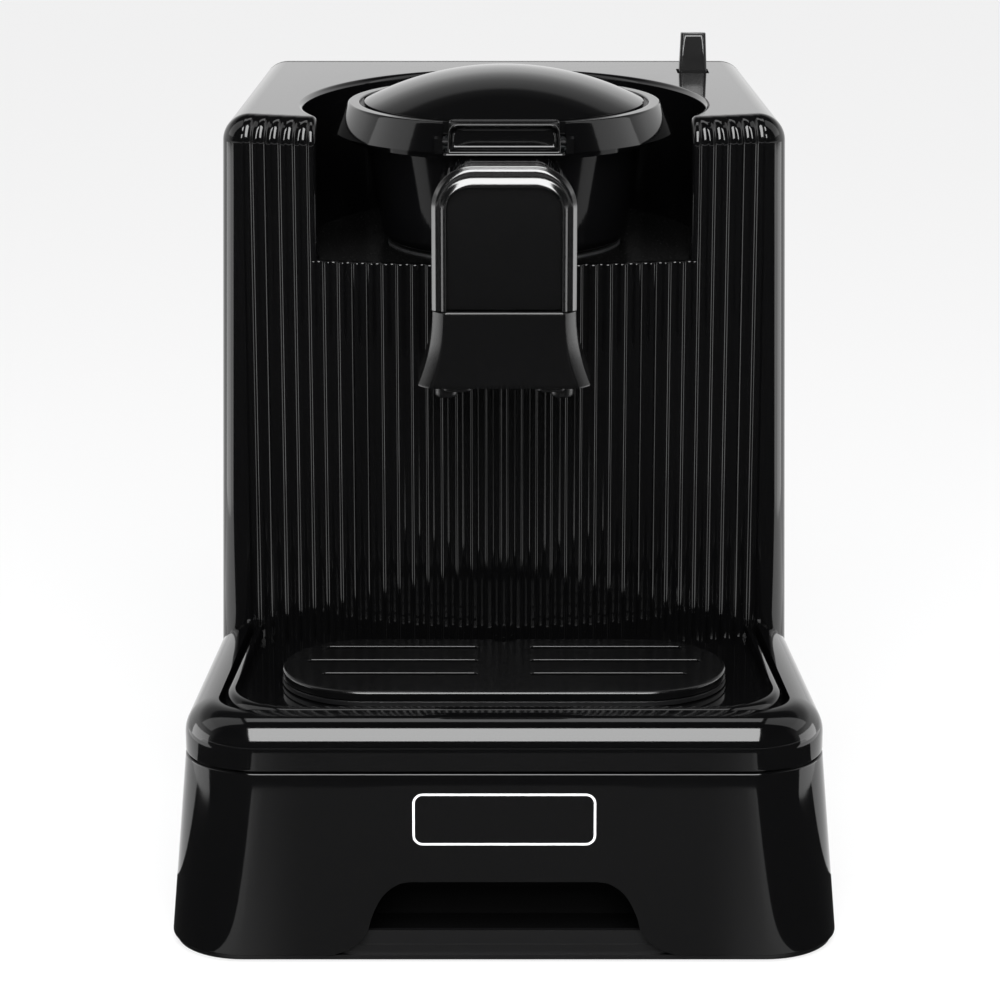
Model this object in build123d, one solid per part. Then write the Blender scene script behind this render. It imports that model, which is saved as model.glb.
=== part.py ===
from build123d import *
import os
from math import asin, cos, radians, sin, sqrt

# Electric turkish coffee maker: a heated tower with a lift-out brewing pot that
# pours through two nozzles, over a wide base with a drip tray and cup platform.
# Millimetres, +Z up, front towards -Y.  The origin is on the table, under the
# middle of the footprint.

# ---- overall heights and depths -------------------------------------------------
FOOT_H = 1.0                 # rubber feet below the base plate
PLINTH_H = 2.0               # base plate below the bottom edge of the base shell
BASE_H = 67.5                # base shell, up to the parting line with the deck
DECK_H = 18.8                # deck, from the parting line to the crest of its rim
TOWER_H = 212.8              # tower, from the parting line to its flat top
SHELF_DROP = 52.2            # pot shelf below the tower top
FRONT_Y = -136.0             # foremost line of the base, at its bottom edge
REAR_Y = 136.0               # back of base and tower
TOWER_Y = -18.0              # front plane of the two plain tower columns

BASE_Z = FOOT_H + PLINTH_H
PART_Z = BASE_Z + BASE_H
DECK_TOP = PART_Z + DECK_H
TOWER_TOP = PART_Z + TOWER_H
SHELF_Z = TOWER_TOP - SHELF_DROP

# ---- walls, seams and clearances ------------------------------------------------
WALL = 2.6                   # moulded outer shells
THIN = 2.0                   # inner mouldings
SEAM = 0.3                   # gap at a seam between fixed mouldings
SOFT = 0.3                   # gap between pieces of different bodies
PIN_CLEAR = 0.05             # radial running clearance of hinge pins
FAR = 200.0                  # reach of cutting blocks, beyond every face

# ---- base and deck outline --------------------------------------------------------
BASE_DRAFT_Y = 3.5           # front face leans back by this up to the parting line
FRONT_R = 27.0               # vertical front corners of base and deck
REAR_R = 11.0                # vertical rear corners
CORNER_SPREAD = 5.9          # front corners of the base, bottom edge beyond parting line
MID_SPREAD = 5.8             # sides of the base, bottom edge beyond parting line
SHOULDER = 5.0               # front corners of the deck beyond the tower columns
DECK_EDGE_R = 12.0           # big rounding round the top of the deck
RIM_W = 17.0                 # rim width at the sides of the shallow well
RIM_FRONT = 16.5             # rim width at the front
WELL_R = 22.0                # well corners, in plan
WELL_DEPTH = 5.0             # well floor below the rim crest
WELL_EDGE_R = 4.0            # soft inner edge of the rim

# ---- tower outline ----------------------------------------------------------------
TOWER_HW = 108.6             # half width of the columns at the parting line
TOWER_TOP_HW = 104.0         # half width of the columns at the top
TOWER_TAPER = 5.8            # the rear is narrower than the front by this, each side
TOP_R = 10.0                 # rounding of the front corners and all round the top
COVER_T = 4.0                # rear cover thickness
COVER_EDGE = 1.2             # broken edge round the back of the cover
PART_HW = TOWER_HW + SHOULDER
BASE_HW = PART_HW + CORNER_SPREAD

# ---- fluted front -------------------------------------------------------------------
FLUTE_HW = 95.5              # half width of the fluted zone between the columns
BULGE = 15.5                 # how far the flutes bow out in front of the columns
FLUTE_PITCH = 5.48           # rib to rib, along the bow
RIB_COUNT = 35               # ribs; grooves lie between them and outside the last two
GROOVE_R = 2.1               # groove radius
GROOVE_OUT = 0.9             # groove centre in front of the rib crests
GROOVE_RUNOUT_R = 12.6       # arc by which a groove leaves the rounded top edge
PANEL_BACK = 12.0            # panel edge depth behind the column plane
PANEL_WALL = 3.4             # panel wall under the flutes

# ---- pot cavity -----------------------------------------------------------------------
POT_Y = 16.5                 # axis of the pot
CAVITY_R = 75.3              # cavity half width
CAVITY_REAR = 92.5           # cavity reach behind the pot axis
MOUTH_HW = 68.7              # half width of the cavity mouth between the cheeks
MOUTH_BLEND_R = 9.0          # plan blend between mouth and round cavity
CAVITY_WALL = 2.4
CAVITY_EDGE_R = 2.0          # top edge of the cavity
SHELF_T = 2.6

# ---- cup platform and drip tray ---------------------------------------------------------
PLAT_L = 162.0               # platform length, left to right
PLAT_W = 63.0                # platform width, front to back
PLAT_Y = -71.5               # platform centre line
PLAT_RISE = 1.0              # platform top above the rim crest of the deck
PLAT_SKIRT = 4.0
SLOT_W = 3.2
SLOT_IN = 9.5                # slots start this far from the middle
SLOT_OUTS = (66.0, 72.0, 66.0)   # and end here, rear row to front row
SLOT_ROWS = (20.5, 4.5, -11.0)   # rows from the platform centre line
TRAY_LIP = 3.0               # tray flange, platform edge to basin wall
TRAY_LIP_T = 2.0
TRAY_DEPTH = 22.0
TRAY_WALL = 1.8
TUB_WALL = 2.2
TUB_GAP = 0.5                # basin to tub, all round

# ---- arch and grip pocket in the base front ------------------------------------------------
ARCH_TOP = 27.1              # above the base bottom edge
ARCH_TOP_HW = 33.0
ARCH_WAIST_HW = 48.0
ARCH_WAIST_Z = 9.4
ARCH_FOOT_HW = 61.5
POCKET_DEPTH = 24.0
POCKET_WALL = 1.6
PLATE_T = 2.4                # base plate
PLINTH_IN = 1.6              # plinth of the base plate, in from the base shell
LIP_H = 8.2                  # upturned front lip of the base plate
FOOT_R = 9.0
FOOT_IN = 21.6               # feet, in from the parting line at the sides
FOOT_END = 30.0              # feet, in from the front and back
FOOT_EDGE = 0.5              # broken lower edge of the feet
SCREW_FRONT = 70.0           # base screws, in from the front
SCREW_REAR = 62.0            # and in from the back
BASE_SCREW_IN = 16.6         # base screws, in from the parting line at the sides
COVER_SCREW_IN = 16.0        # cover screws, in from the edges of the cover

# ---- heater ----------------------------------------------------------------------------------
HEATER_R = 44.0
HEATER_T = 4.0
HEATER_RISE = 0.5            # heater face above the shelf
ELEMENT_R = 30.0
ELEMENT_TUBE_R = 3.2
ELEMENT_TAIL = 16.0
THERMOSTAT_R = 9.0
FUSE_R = 2.5
SKIRT_H = 6.0                # heater skirt below the shelf
LEDGE_W = 3.0                # ledge that carries the heater plate
CLAMP_T = 1.2

# ---- pot -------------------------------------------------------------------------------------
POT_TOP_R = 53.0
POT_BOTTOM_R = 46.0
POT_H = 41.4
POT_WALL = 1.6
POT_FOOT_R = 6.0
POT_RIM_R = 59.0
POT_RIM_T = 2.2

# ---- lid --------------------------------------------------------------------------------------
RING_LOW_R = 63.9            # lower rim of the lid ring
RING_TOP_R = 58.9            # crease between cone and flat flange
RING_H = 10.4
DOME_R = 52.7                # edge of the dome
DOME_RISE = 12.8
DOME_GROOVE = 1.6            # groove between flange and dome
DOME_WALL = 1.8
SEAL_R = 50.6                # silicone seal, where it plugs the pot
SEAL_T = 2.4
HINGE_Y = 67.6               # lid hinge pin behind the pot axis
HINGE_DROP = 4.2             # lid hinge pin above the pot rim
HINGE_PIN_R = 1.5
HINGE_HW = 15.0

# ---- latch tab ---------------------------------------------------------------------------------
TAB_HW = 21.8
TAB_TOP_HW = 19.5
TAB_H = 11.6
TAB_D = 13.6
TAB_HEEL = 3.0               # bevel under the back edge of the tab
TAB_BACK_GAP = 1.3           # room for the tab to rock in its notch
TAB_PROUD = 4.0              # tab in front of the ring
TAB_SCOOP_R = 26.0
TAB_PIN_R = 1.2
TAB_PIN_IN = 8.0             # pin behind the tab front

# ---- spout ---------------------------------------------------------------------------------------
SPOUT_HW = 24.0
SPOUT_Y0 = -76.0             # flat front panel
SPOUT_Y1 = -39.5             # back of the spout housing
SPOUT_TOP_R = 12.5
SPOUT_SEAM_DROP = 50.0       # seam between housing and head, below the pot rim
SPOUT_WALL = 2.0
HEAD_H = 28.0
HEAD_TOP_HW = 25.6
HEAD_LOW_HW = 31.0
HEAD_LOW_Y0 = -79.0
BEAD_R = 2.6                 # rounded trim round the panel
PANEL_T = 2.0
NOZZLE_X = 20.85
NOZZLE_Y = -63.0
NOZZLE_R = 4.15
NOZZLE_BORE_R = 2.4
NOZZLE_H = 7.5
DUCT_R = 4.0
DUCT_BORE_R = 2.6

# ---- start lever ------------------------------------------------------------------------------------
LEVER_X = TOWER_TOP_HW - 28.2
LEVER_Y = 104.5
LEVER_W = 11.3
LEVER_D = 6.0
LEVER_UP = 15.3
LEVER_PIN_DROP = 9.0         # pin below the tower top
LEVER_PIN_R = 1.5
LEVER_TAIL = 9.0
LEVER_SWING = 8.0            # degrees each way, for the slot in the tower top

# ---- electronics -----------------------------------------------------------------------------------------
BOARD_W = 120.0
BOARD_H = 84.0
BOARD_T = 1.6
BOARD_Z = 150.0
TERMINAL_W = 56.0            # terminal block, along the lower edge of the board
TERMINAL_D = 11.0
TERMINAL_IN = 7.0
STANDOFF_H = 9.0
SCREW_R = 1.5
SCREW_HEAD_R = 3.0
SCREW_HEAD_H = 1.8
BOSS_R = 4.2
GLAND_X = -62.0
GLAND_Z = 30.0
GLAND_BORE_R = 3.6
GLAND_R = 7.0
GLAND_L = 15.0

os.makedirs("parts", exist_ok=True)


# =====================================================================================
# shared outlines
# =====================================================================================
def body_outline(front_hw, front_y, mid_hw, rear_hw):
    """Plan outline: straight front with big round corners, sides that narrow to the rear."""
    slope = (front_hw - mid_hw) / (TOWER_Y - front_y - FRONT_R)
    corner_hw = front_hw + slope * FRONT_R
    right = [(corner_hw, front_y), (mid_hw, TOWER_Y), (rear_hw, REAR_Y)]
    left = [(-x, y) for x, y in reversed(right)]
    face = Face(Wire.make_polygon([Vector(x, y, 0) for x, y in right + left], close=True))
    face = face.fillet_2d(FRONT_R, [v for v in face.vertices() if v.Y < front_y + 1])
    return face.fillet_2d(REAR_R, [v for v in face.vertices() if v.Y > REAR_Y - 1])


def base_bottom_face(inset=0.0):
    """Outline of the base at its bottom edge, moved inwards by inset."""
    face = body_outline(BASE_HW, FRONT_Y, TOWER_HW + MID_SPREAD,
                        TOWER_HW - TOWER_TAPER + MID_SPREAD)
    return offset(face, -inset) if inset else face


def parting_face(inset=0.0):
    """Outline of base and deck at the parting line, moved inwards by inset."""
    face = body_outline(PART_HW, FRONT_Y + BASE_DRAFT_Y, TOWER_HW, TOWER_HW - TOWER_TAPER)
    return offset(face, -inset) if inset else face


def stadium(length, width, grow=0.0):
    """Straight-sided slot shape with round ends, grown by grow all round."""
    return SlotOverall(length + 2 * grow, width + 2 * grow)


def prism(face, z0, z1):
    """Straight prism of a plan face between two heights."""
    return extrude(Pos(0, 0, z0) * face, z1 - z0)


def block(x0, x1, y0, y1, z0, z1):
    """Plain block between two corners."""
    return Pos((x0 + x1) / 2, (y0 + y1) / 2, (z0 + z1) / 2) * Box(x1 - x0, y1 - y0, z1 - z0)


def rod(radius, start, end):
    """Round rod between two points along one of the axes."""
    path = Vector(*end) - Vector(*start)
    plane = Plane(origin=start, z_dir=path.normalized())
    return extrude(plane * Circle(radius), path.length)


def mirrored(shape):
    """The shape and its mirror image across the middle plane."""
    return shape + mirror(shape, Plane.YZ)


# =====================================================================================
# bowed, fluted front of the tower
# =====================================================================================
BOW_R = (FLUTE_HW ** 2 + BULGE ** 2) / (2 * BULGE)
BOW_Y = TOWER_Y - BULGE + BOW_R


def bow_face(half_width, inset, back_y):
    """Plan face between the bow, moved in by inset, and a straight back."""
    r = BOW_R - inset
    edge_y = BOW_Y - sqrt(r ** 2 - half_width ** 2)
    arc = ThreePointArc((-half_width, edge_y), (0, BOW_Y - r), (half_width, edge_y))
    back = Polyline((half_width, edge_y), (half_width, back_y), (-half_width, back_y),
                    (-half_width, edge_y))
    return make_face(arc + back)


def groove_places():
    """Plan position and arc length of each groove centre along the bow."""
    for k in range(RIB_COUNT + 1):
        s = (k - RIB_COUNT / 2) * FLUTE_PITCH
        angle = s / BOW_R
        r = BOW_R + GROOVE_OUT
        yield s, r * sin(angle), BOW_Y - r * cos(angle)


def tall_groove(x, y):
    """Groove cutter that climbs the front and runs out over the rounded top edge."""
    z_bend = TOWER_TOP - TOP_R
    lift = 78.0
    end = (x, y + GROOVE_RUNOUT_R * (1 - cos(radians(lift))),
           z_bend + GROOVE_RUNOUT_R * sin(radians(lift)))
    half = radians(lift / 2)
    middle = (x, y + GROOVE_RUNOUT_R * (1 - cos(half)), z_bend + GROOVE_RUNOUT_R * sin(half))
    path = Line((x, y, PART_Z - 1), (x, y, z_bend)) + ThreePointArc((x, y, z_bend), middle, end)
    return sweep(Plane(origin=(x, y, PART_Z - 1), z_dir=(0, 0, 1)) * Circle(GROOVE_R), path)


def make_fluted_front():
    """Bowed front moulding: plain below the shelf, two fluted cheeks beside the cavity."""
    back_y = TOWER_Y + PANEL_BACK
    panel = prism(bow_face(FLUTE_HW - SEAM / 2, 0, back_y), PART_Z, TOWER_TOP)
    top_front = [e for e in panel.edges().group_by(Axis.Z)[-1] if e.geom_type == GeomType.CIRCLE]
    panel = fillet(top_front, TOP_R)
    panel -= prism(cavity_face(), SHELF_Z, TOWER_TOP + 1)
    inner = [e for e in panel.edges() if abs(abs(e.center().X) - MOUTH_HW) < 0.01
             and e.center().Z > SHELF_Z + 1 and e.center().Y < back_y - 1
             and (e.bounding_box().size.X < 0.01)]
    panel = fillet(inner, CAVITY_EDGE_R)
    hollow = bow_face(FLUTE_HW - PANEL_WALL, PANEL_WALL, back_y + 1)
    panel -= prism(hollow, PART_Z - 1, SHELF_Z - PANEL_WALL)
    panel -= prism(hollow & cavity_face(), PART_Z - 1, SHELF_Z + 1)
    leg_x = MOUTH_HW + PANEL_WALL
    panel -= mirrored(block(leg_x, FLUTE_HW - PANEL_WALL, TOWER_Y + 1, back_y + 1,
                            SHELF_Z, TOWER_TOP - 2 * PANEL_WALL))
    cutters = []
    for s, x, y in groove_places():
        if abs(x) > MOUTH_HW + CAVITY_EDGE_R:
            cutters.append(tall_groove(x, y))
        else:
            cutters.append(rod(GROOVE_R, (x, y, PART_Z - 1), (x, y, SHELF_Z + 0.001)))
    return panel - cutters


# =====================================================================================
# tower shell, cavity, shelf and rear cover
# =====================================================================================
def side_plane(side, inset):
    """Plane of one tower side, which leans in upwards and towards the rear."""
    lean = (TOWER_HW - TOWER_TOP_HW) / TOWER_H
    narrowing = TOWER_TAPER / (REAR_Y - TOWER_Y)
    return Plane(origin=(side * TOWER_HW, TOWER_Y, PART_Z),
                 z_dir=(side, narrowing, lean)).offset(-inset)


def tower_block(inset=0.0, end_y=REAR_Y):
    """Solid form of the tower with rounded front and top edges, or of its hollow when inset."""
    back_y = REAR_Y + 2 * TOP_R
    solid = block(-FAR, FAR, TOWER_Y + inset, back_y, PART_Z, TOWER_TOP - inset)
    for side in (-1, 1):
        solid = split(solid, bisect_by=side_plane(side, inset), keep=Keep.BOTTOM)
    rounded = [e for e in solid.edges() if e.center().Z > PART_Z + 1 and e.center().Y < back_y - 1]
    solid = fillet(rounded, TOP_R - inset)
    return solid & block(-FAR, FAR, -FAR, end_y, PART_Z, TOWER_TOP + 1)


def cavity_face(grow=0.0):
    """Plan outline of the pot cavity: round, longer behind the pot, with a narrower mouth."""
    circle = Pos(0, POT_Y) * Circle(CAVITY_R + grow)
    rear = Pos(0, POT_Y) * Ellipse(CAVITY_R + grow, CAVITY_REAR + grow)
    front_half = Pos(0, POT_Y - FAR) * Rectangle(2 * FAR, 2 * FAR)
    mouth = Pos(0, TOWER_Y - 20) * Rectangle(2 * (MOUTH_HW + grow), 2 * (POT_Y - TOWER_Y))
    plan = (rear - front_half) + (circle & front_half) + mouth
    blends = [v for v in plan.vertices() if TOWER_Y - 5 < v.Y < POT_Y - 5]
    return fillet(blends, MOUTH_BLEND_R)


def lever_slot(grow=0.0):
    """Slot in the tower top that the start lever rocks in."""
    reach = (LEVER_PIN_DROP + TOP_R) * sin(radians(LEVER_SWING)) + LEVER_D / 2 + 0.8 + grow
    half = LEVER_W / 2 + 0.7 + grow
    return block(LEVER_X - half, LEVER_X + half, LEVER_Y - reach, LEVER_Y + reach,
                 TOWER_TOP - 2 * WALL - grow, TOWER_TOP + 1)


def make_tower_shell():
    """Hollow tower moulding with the cavity wall, open at the back and between the columns."""
    split_y = REAR_Y - COVER_T - SEAM
    outer = tower_block(end_y=split_y)
    shell = outer - tower_block(WALL, split_y + 1)
    shell += prism(cavity_face(CAVITY_WALL), SHELF_Z - SHELF_T, TOWER_TOP) & outer
    shell -= prism(cavity_face(), SHELF_Z - SHELF_T - 1, TOWER_TOP + 1)
    shell -= block(-FLUTE_HW - SEAM / 2, FLUTE_HW + SEAM / 2, -FAR, TOWER_Y + PANEL_BACK,
                   PART_Z - 1, TOWER_TOP + 1)
    rim = [e for e in shell.edges().group_by(Axis.Z)[-1]
           if abs(e.center().X) < CAVITY_R + 0.1 and e.center().Y > TOWER_Y + PANEL_BACK + 0.1
           and e.center().Y < POT_Y + CAVITY_REAR + 0.1]
    return fillet(rim, CAVITY_EDGE_R) - lever_slot()


def make_rear_cover():
    """Back panel that follows the tower outline, with vent slots and screw seats."""
    cover = tower_block() & block(-FAR, FAR, REAR_Y - COVER_T, FAR, PART_Z, TOWER_TOP + 1)
    cover = chamfer(cover.faces().sort_by(Axis.Y)[-1].edges(), COVER_EDGE)
    vents = [Pos(x, REAR_Y, z) * Rot(90, 0, 0) * extrude(SlotOverall(34, 3.2), 20, both=True)
             for x in (-40, 0, 40) for z in vent_rows()]
    return cover - vents - [rod(SCREW_R + 0.1, (x, REAR_Y - 20, z), (x, REAR_Y + 1, z))
                            for x, z in cover_screw_places()] - [
        rod(SCREW_HEAD_R + 0.2, (x, REAR_Y - SCREW_HEAD_H, z), (x, REAR_Y + 1, z))
        for x, z in cover_screw_places()]


def vent_rows():
    """Heights of the vent slots in the rear cover."""
    return [PART_Z + 22 + 8 * k for k in range(4)] + [TOWER_TOP - 30 - 8 * k for k in range(4)]


def cover_screw_places():
    """Screws of the rear cover."""
    low, high = PART_Z + 14, TOWER_TOP - 42
    low_x = TOWER_HW - TOWER_TAPER - COVER_SCREW_IN
    high_x = TOWER_TOP_HW - TOWER_TAPER - COVER_SCREW_IN
    return [(-low_x, low), (low_x, low), (-high_x, high), (high_x, high)]


def make_screws(places, head_y):
    """Pan-head screws driven from the back, heads at head_y."""
    return [rod(SCREW_R, (x, head_y - 14, z), (x, head_y - SCREW_HEAD_H, z))
            + rod(SCREW_HEAD_R, (x, head_y - SCREW_HEAD_H, z), (x, head_y, z))
            for x, z in places]


def make_cover_bosses():
    """Screw posts inside the tower that the rear cover is fixed to."""
    posts = []
    split_y = REAR_Y - COVER_T - SEAM
    inside = tower_block(WALL + 0.05, split_y)
    for x, z in cover_screw_places():
        side = 1 if x > 0 else -1
        post = rod(BOSS_R, (x, split_y - 14, z), (x, split_y, z))
        rib = block(min(x, x + side * 17), max(x, x + side * 17), split_y - 14, split_y,
                    z - 1.2, z + 1.2)
        posts.append(((post + rib) & inside)
                     - rod(SCREW_R, (x, split_y - 13, z), (x, split_y + 1, z)))
    return posts


SKIRT_LOW = SHELF_Z - SHELF_T - SKIRT_H
LEDGE_Z = SKIRT_LOW + THIN
HEATER_TOP = SHELF_Z + HEATER_RISE
HEATER_LOW = LEDGE_Z - HEATER_T
CLAMP_X = HEATER_R + SEAM + THIN
CLAMP_Z = HEATER_LOW - 2 * ELEMENT_TUBE_R


def upright_tube(outer_r, bore_r, z0, z1):
    """Upright cylinder on the pot axis, bored when bore_r is given."""
    tube = Pos(0, POT_Y, (z0 + z1) / 2) * Cylinder(outer_r, z1 - z0)
    return tube - Pos(0, POT_Y, (z0 + z1) / 2) * Cylinder(bore_r, z1 - z0) if bore_r else tube


def make_shelf():
    """Floor of the cavity, with the heater seat and two clamp posts under it."""
    plan = cavity_face(-SEAM) & bow_face(FLUTE_HW, PANEL_WALL + SEAM, REAR_Y)
    shelf = prism(plan, SHELF_Z - SHELF_T, SHELF_Z)
    hole_r = HEATER_R + SEAM
    skirt_r = hole_r + THIN
    shelf += upright_tube(skirt_r, 0, SKIRT_LOW, SHELF_Z)
    shelf -= upright_tube(hole_r, 0, SKIRT_LOW - 1, SHELF_Z + 1)
    shelf += upright_tube(skirt_r, HEATER_R - LEDGE_W, SKIRT_LOW, LEDGE_Z)
    posts = [rod(BOSS_R, (side * CLAMP_X, POT_Y, CLAMP_Z), (side * CLAMP_X, POT_Y, SKIRT_LOW))
             for side in (-1, 1)]
    return shelf + posts


# =====================================================================================
# heater
# =====================================================================================
def make_heater_plate():
    """Cast disc with a stepped flange that rests on the ledge of the shelf."""
    plate = upright_tube(HEATER_R, 0, LEDGE_Z, HEATER_TOP)
    plate += upright_tube(HEATER_R - LEDGE_W - SEAM, 0, HEATER_LOW, LEDGE_Z)
    return plate - upright_tube(HEATER_R - 6, 12, HEATER_TOP - 0.4, HEATER_TOP + 1)


def make_heater_element():
    """Open ring of flattened heating tube under the plate, with two turned-down tails."""
    low = HEATER_LOW - 2 * ELEMENT_TUBE_R
    ring = upright_tube(ELEMENT_R + ELEMENT_TUBE_R, ELEMENT_R - ELEMENT_TUBE_R, low, HEATER_LOW)
    ring = chamfer([e for e in ring.edges() if e.geom_type == GeomType.CIRCLE], ELEMENT_TUBE_R / 2)
    end_x = ELEMENT_R / 3
    ring -= block(-end_x, end_x, POT_Y, POT_Y + 2 * ELEMENT_R, low - 1, HEATER_LOW + 1)
    tail_y = POT_Y + ELEMENT_R * cos(asin((end_x + ELEMENT_TUBE_R) / ELEMENT_R))
    tails = [rod(ELEMENT_TUBE_R - 0.6, (x, tail_y, low - ELEMENT_TAIL), (x, tail_y, low + 1))
             for x in (-end_x - ELEMENT_TUBE_R, end_x + ELEMENT_TUBE_R)]
    return ring + tails


def make_heater_clamp():
    """Spring-steel strap under the element, screwed to the two posts of the shelf."""
    return block(-CLAMP_X - 5, CLAMP_X + 5, POT_Y - 6, POT_Y + 6, CLAMP_Z - CLAMP_T, CLAMP_Z)


def make_thermostat():
    """Bimetal thermostat can pressed on the middle of the plate, held by the strap."""
    return upright_tube(THERMOSTAT_R, 0, CLAMP_Z, HEATER_LOW)


def make_thermal_fuse():
    """One-shot thermal fuse with its two leads, lying against the underside of the plate."""
    y, z = POT_Y - ELEMENT_R / 2, HEATER_LOW - FUSE_R
    body = rod(FUSE_R, (-7, y, z), (7, y, z))
    return body + rod(0.7, (-13, y, z), (13, y, z))


# =====================================================================================
# base
# =====================================================================================
def tub_low_z():
    """Underside of the tray tub moulded into the deck."""
    return DECK_TOP - WELL_DEPTH + SOFT - TRAY_DEPTH - TUB_GAP - TUB_WALL


def arch_face():
    """Front view of the arch: flat top, sides that sweep out to a wide foot."""
    top, waist, low = BASE_Z + ARCH_TOP, BASE_Z + ARCH_WAIST_Z, BASE_Z - 1
    right = Spline((ARCH_TOP_HW, top), (ARCH_WAIST_HW - 4.2, (top + waist) / 2 + 2.1),
                   (ARCH_WAIST_HW, waist), (ARCH_WAIST_HW + 4.3, (waist + BASE_Z) / 2 - 0.9),
                   (ARCH_FOOT_HW, low), tangents=[(1, 0), (1, -0.2)])
    left = mirror(right, Plane.YZ)
    outline = right + left + Line((-ARCH_TOP_HW, top), (ARCH_TOP_HW, top)) + Line(
        (-ARCH_FOOT_HW, low), (ARCH_FOOT_HW, low))
    return Plane.XZ * make_face(outline)


def base_screw_places():
    """Screws that close the base from below."""
    front_x, rear_x = PART_HW - BASE_SCREW_IN, TOWER_HW - BASE_SCREW_IN
    front_y, rear_y = FRONT_Y + SCREW_FRONT, REAR_Y - SCREW_REAR
    return [(-front_x, front_y), (front_x, front_y), (-rear_x, rear_y), (rear_x, rear_y)]


def foot_places():
    """Rubber feet near the four corners."""
    front_x, rear_x = PART_HW - FOOT_IN, TOWER_HW - FOOT_IN
    front_y, rear_y = FRONT_Y + FOOT_END, REAR_Y - FOOT_END
    return [(-front_x, front_y), (front_x, front_y), (-rear_x, rear_y), (rear_x, rear_y)]


def make_base_shell():
    """Wide drafted skirt with the arch in its front, a top flange and four screw posts."""
    outer = loft([Pos(0, 0, BASE_Z) * base_bottom_face(), Pos(0, 0, PART_Z) * parting_face()],
                 ruled=True)
    inner = loft([Pos(0, 0, BASE_Z) * base_bottom_face(WALL),
                  Pos(0, 0, PART_Z) * parting_face(WALL)], ruled=True)
    inner &= block(-FAR, FAR, -FAR, FAR, BASE_Z - 1, PART_Z - WALL)
    shell = outer - inner
    shell -= prism(Pos(0, PLAT_Y) * stadium(PLAT_L, PLAT_W, 2.0), PART_Z - 20, PART_Z + 1)
    opening = TOWER_HW - TOWER_TAPER - 16
    shell -= block(-opening, opening, TOWER_Y + 6, REAR_Y - 20, PART_Z - 20, PART_Z + 1)
    shell -= extrude(arch_face(), FAR, dir=(0, -1, 0)) & block(
        -FAR, FAR, -FAR, FRONT_Y + 12, 0, PART_Z)
    plate_top = BASE_Z + 0.6 + PLATE_T
    for x, y in base_screw_places():
        shell += rod(BOSS_R, (x, y, plate_top), (x, y, PART_Z - WALL))
        shell -= rod(SCREW_R, (x, y, plate_top - 1), (x, y, plate_top + 16))
    shell -= rod(GLAND_R - 2, (GLAND_X, REAR_Y - 30, GLAND_Z), (GLAND_X, REAR_Y + 1, GLAND_Z))
    return shell


def make_base_plate():
    """Floor of the base, its plinth, vents, screw seats, foot sockets and the arch lip."""
    z0 = BASE_Z + 0.6
    plate = prism(base_bottom_face(WALL + SEAM + 0.4), BASE_Z - SEAM, z0 + PLATE_T)
    plate += prism(base_bottom_face(PLINTH_IN), FOOT_H, BASE_Z - SEAM)
    lip_y = FRONT_Y + WALL + SEAM + 0.9
    plate += block(-ARCH_FOOT_HW + 1, ARCH_FOOT_HW - 1, lip_y, lip_y + THIN, z0, BASE_Z + LIP_H)
    slot = SlotOverall(44, 3.4)
    vents = [Pos(x, y, z0) * extrude(slot, PLATE_T + PLINTH_H, both=True)
             for x in (-30, 30) for y in (18 + 9 * k for k in range(7))]
    holes = [rod(SCREW_R + 0.1, (x, y, 0), (x, y, z0 + 9)) for x, y in base_screw_places()]
    seats = [rod(SCREW_HEAD_R + 0.3, (x, y, 0), (x, y, z0 + SCREW_HEAD_H / 2))
             for x, y in base_screw_places()]
    sockets = [rod(4.0, (x, y, 0), (x, y, z0 + 9)) for x, y in foot_places()]
    return plate - vents - holes - seats - sockets


def make_feet():
    """Soft feet: a disc on the table and a stem pressed into the base plate."""
    feet = []
    for x, y in foot_places():
        disc = Pos(x, y, FOOT_H / 2) * Cylinder(FOOT_R, FOOT_H)
        disc = chamfer(disc.edges().group_by(Axis.Z)[0], FOOT_EDGE)
        feet.append(disc + rod(3.95, (x, y, FOOT_H), (x, y, BASE_Z + 0.6 + PLATE_T)))
    return feet


def make_base_screws():
    """Screws up through the base plate into the posts of the shell."""
    z0 = BASE_Z + 0.6 - SCREW_HEAD_H / 2
    return [rod(SCREW_HEAD_R, (x, y, z0), (x, y, z0 + SCREW_HEAD_H))
            + rod(SCREW_R, (x, y, z0 + SCREW_HEAD_H), (x, y, z0 + 15))
            for x, y in base_screw_places()]


def make_grip_pocket():
    """Dark liner behind the arch: a shallow box open to the front."""
    y0 = FRONT_Y + WALL + SEAM + 0.9 + THIN + SEAM
    hw, z1 = ARCH_FOOT_HW + 1.5, BASE_Z + ARCH_TOP + 3
    z0 = BASE_Z + 0.6 + PLATE_T
    outer = block(-hw, hw, y0, y0 + POCKET_DEPTH, z0, z1)
    back_edges = [e for e in outer.edges().filter_by(Axis.Z) if e.center().Y > y0 + 1]
    outer = fillet(back_edges, 8)
    inner = block(-hw + POCKET_WALL, hw - POCKET_WALL, y0 - 1, y0 + POCKET_DEPTH - POCKET_WALL,
                  z0 + POCKET_WALL, z1 - POCKET_WALL)
    back_edges = [e for e in inner.edges().filter_by(Axis.Z) if e.center().Y > y0 + 1]
    return outer - fillet(back_edges, 8 - POCKET_WALL)


def make_gland():
    """Bushing in the rear wall that the supply cord would come through."""
    y1 = REAR_Y
    body = rod(GLAND_R - 2 - 0.1, (GLAND_X, y1 - WALL - 0.2, GLAND_Z), (GLAND_X, y1, GLAND_Z))
    body += rod(GLAND_R, (GLAND_X, y1 - GLAND_L, GLAND_Z), (GLAND_X, y1 - WALL - 0.1, GLAND_Z))
    return body - rod(GLAND_BORE_R, (GLAND_X, y1 - GLAND_L - 1, GLAND_Z),
                      (GLAND_X, y1 + 1, GLAND_Z))


# =====================================================================================
# deck, drip tray and cup platform
# =====================================================================================
WELL_Z = DECK_TOP - WELL_DEPTH


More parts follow.
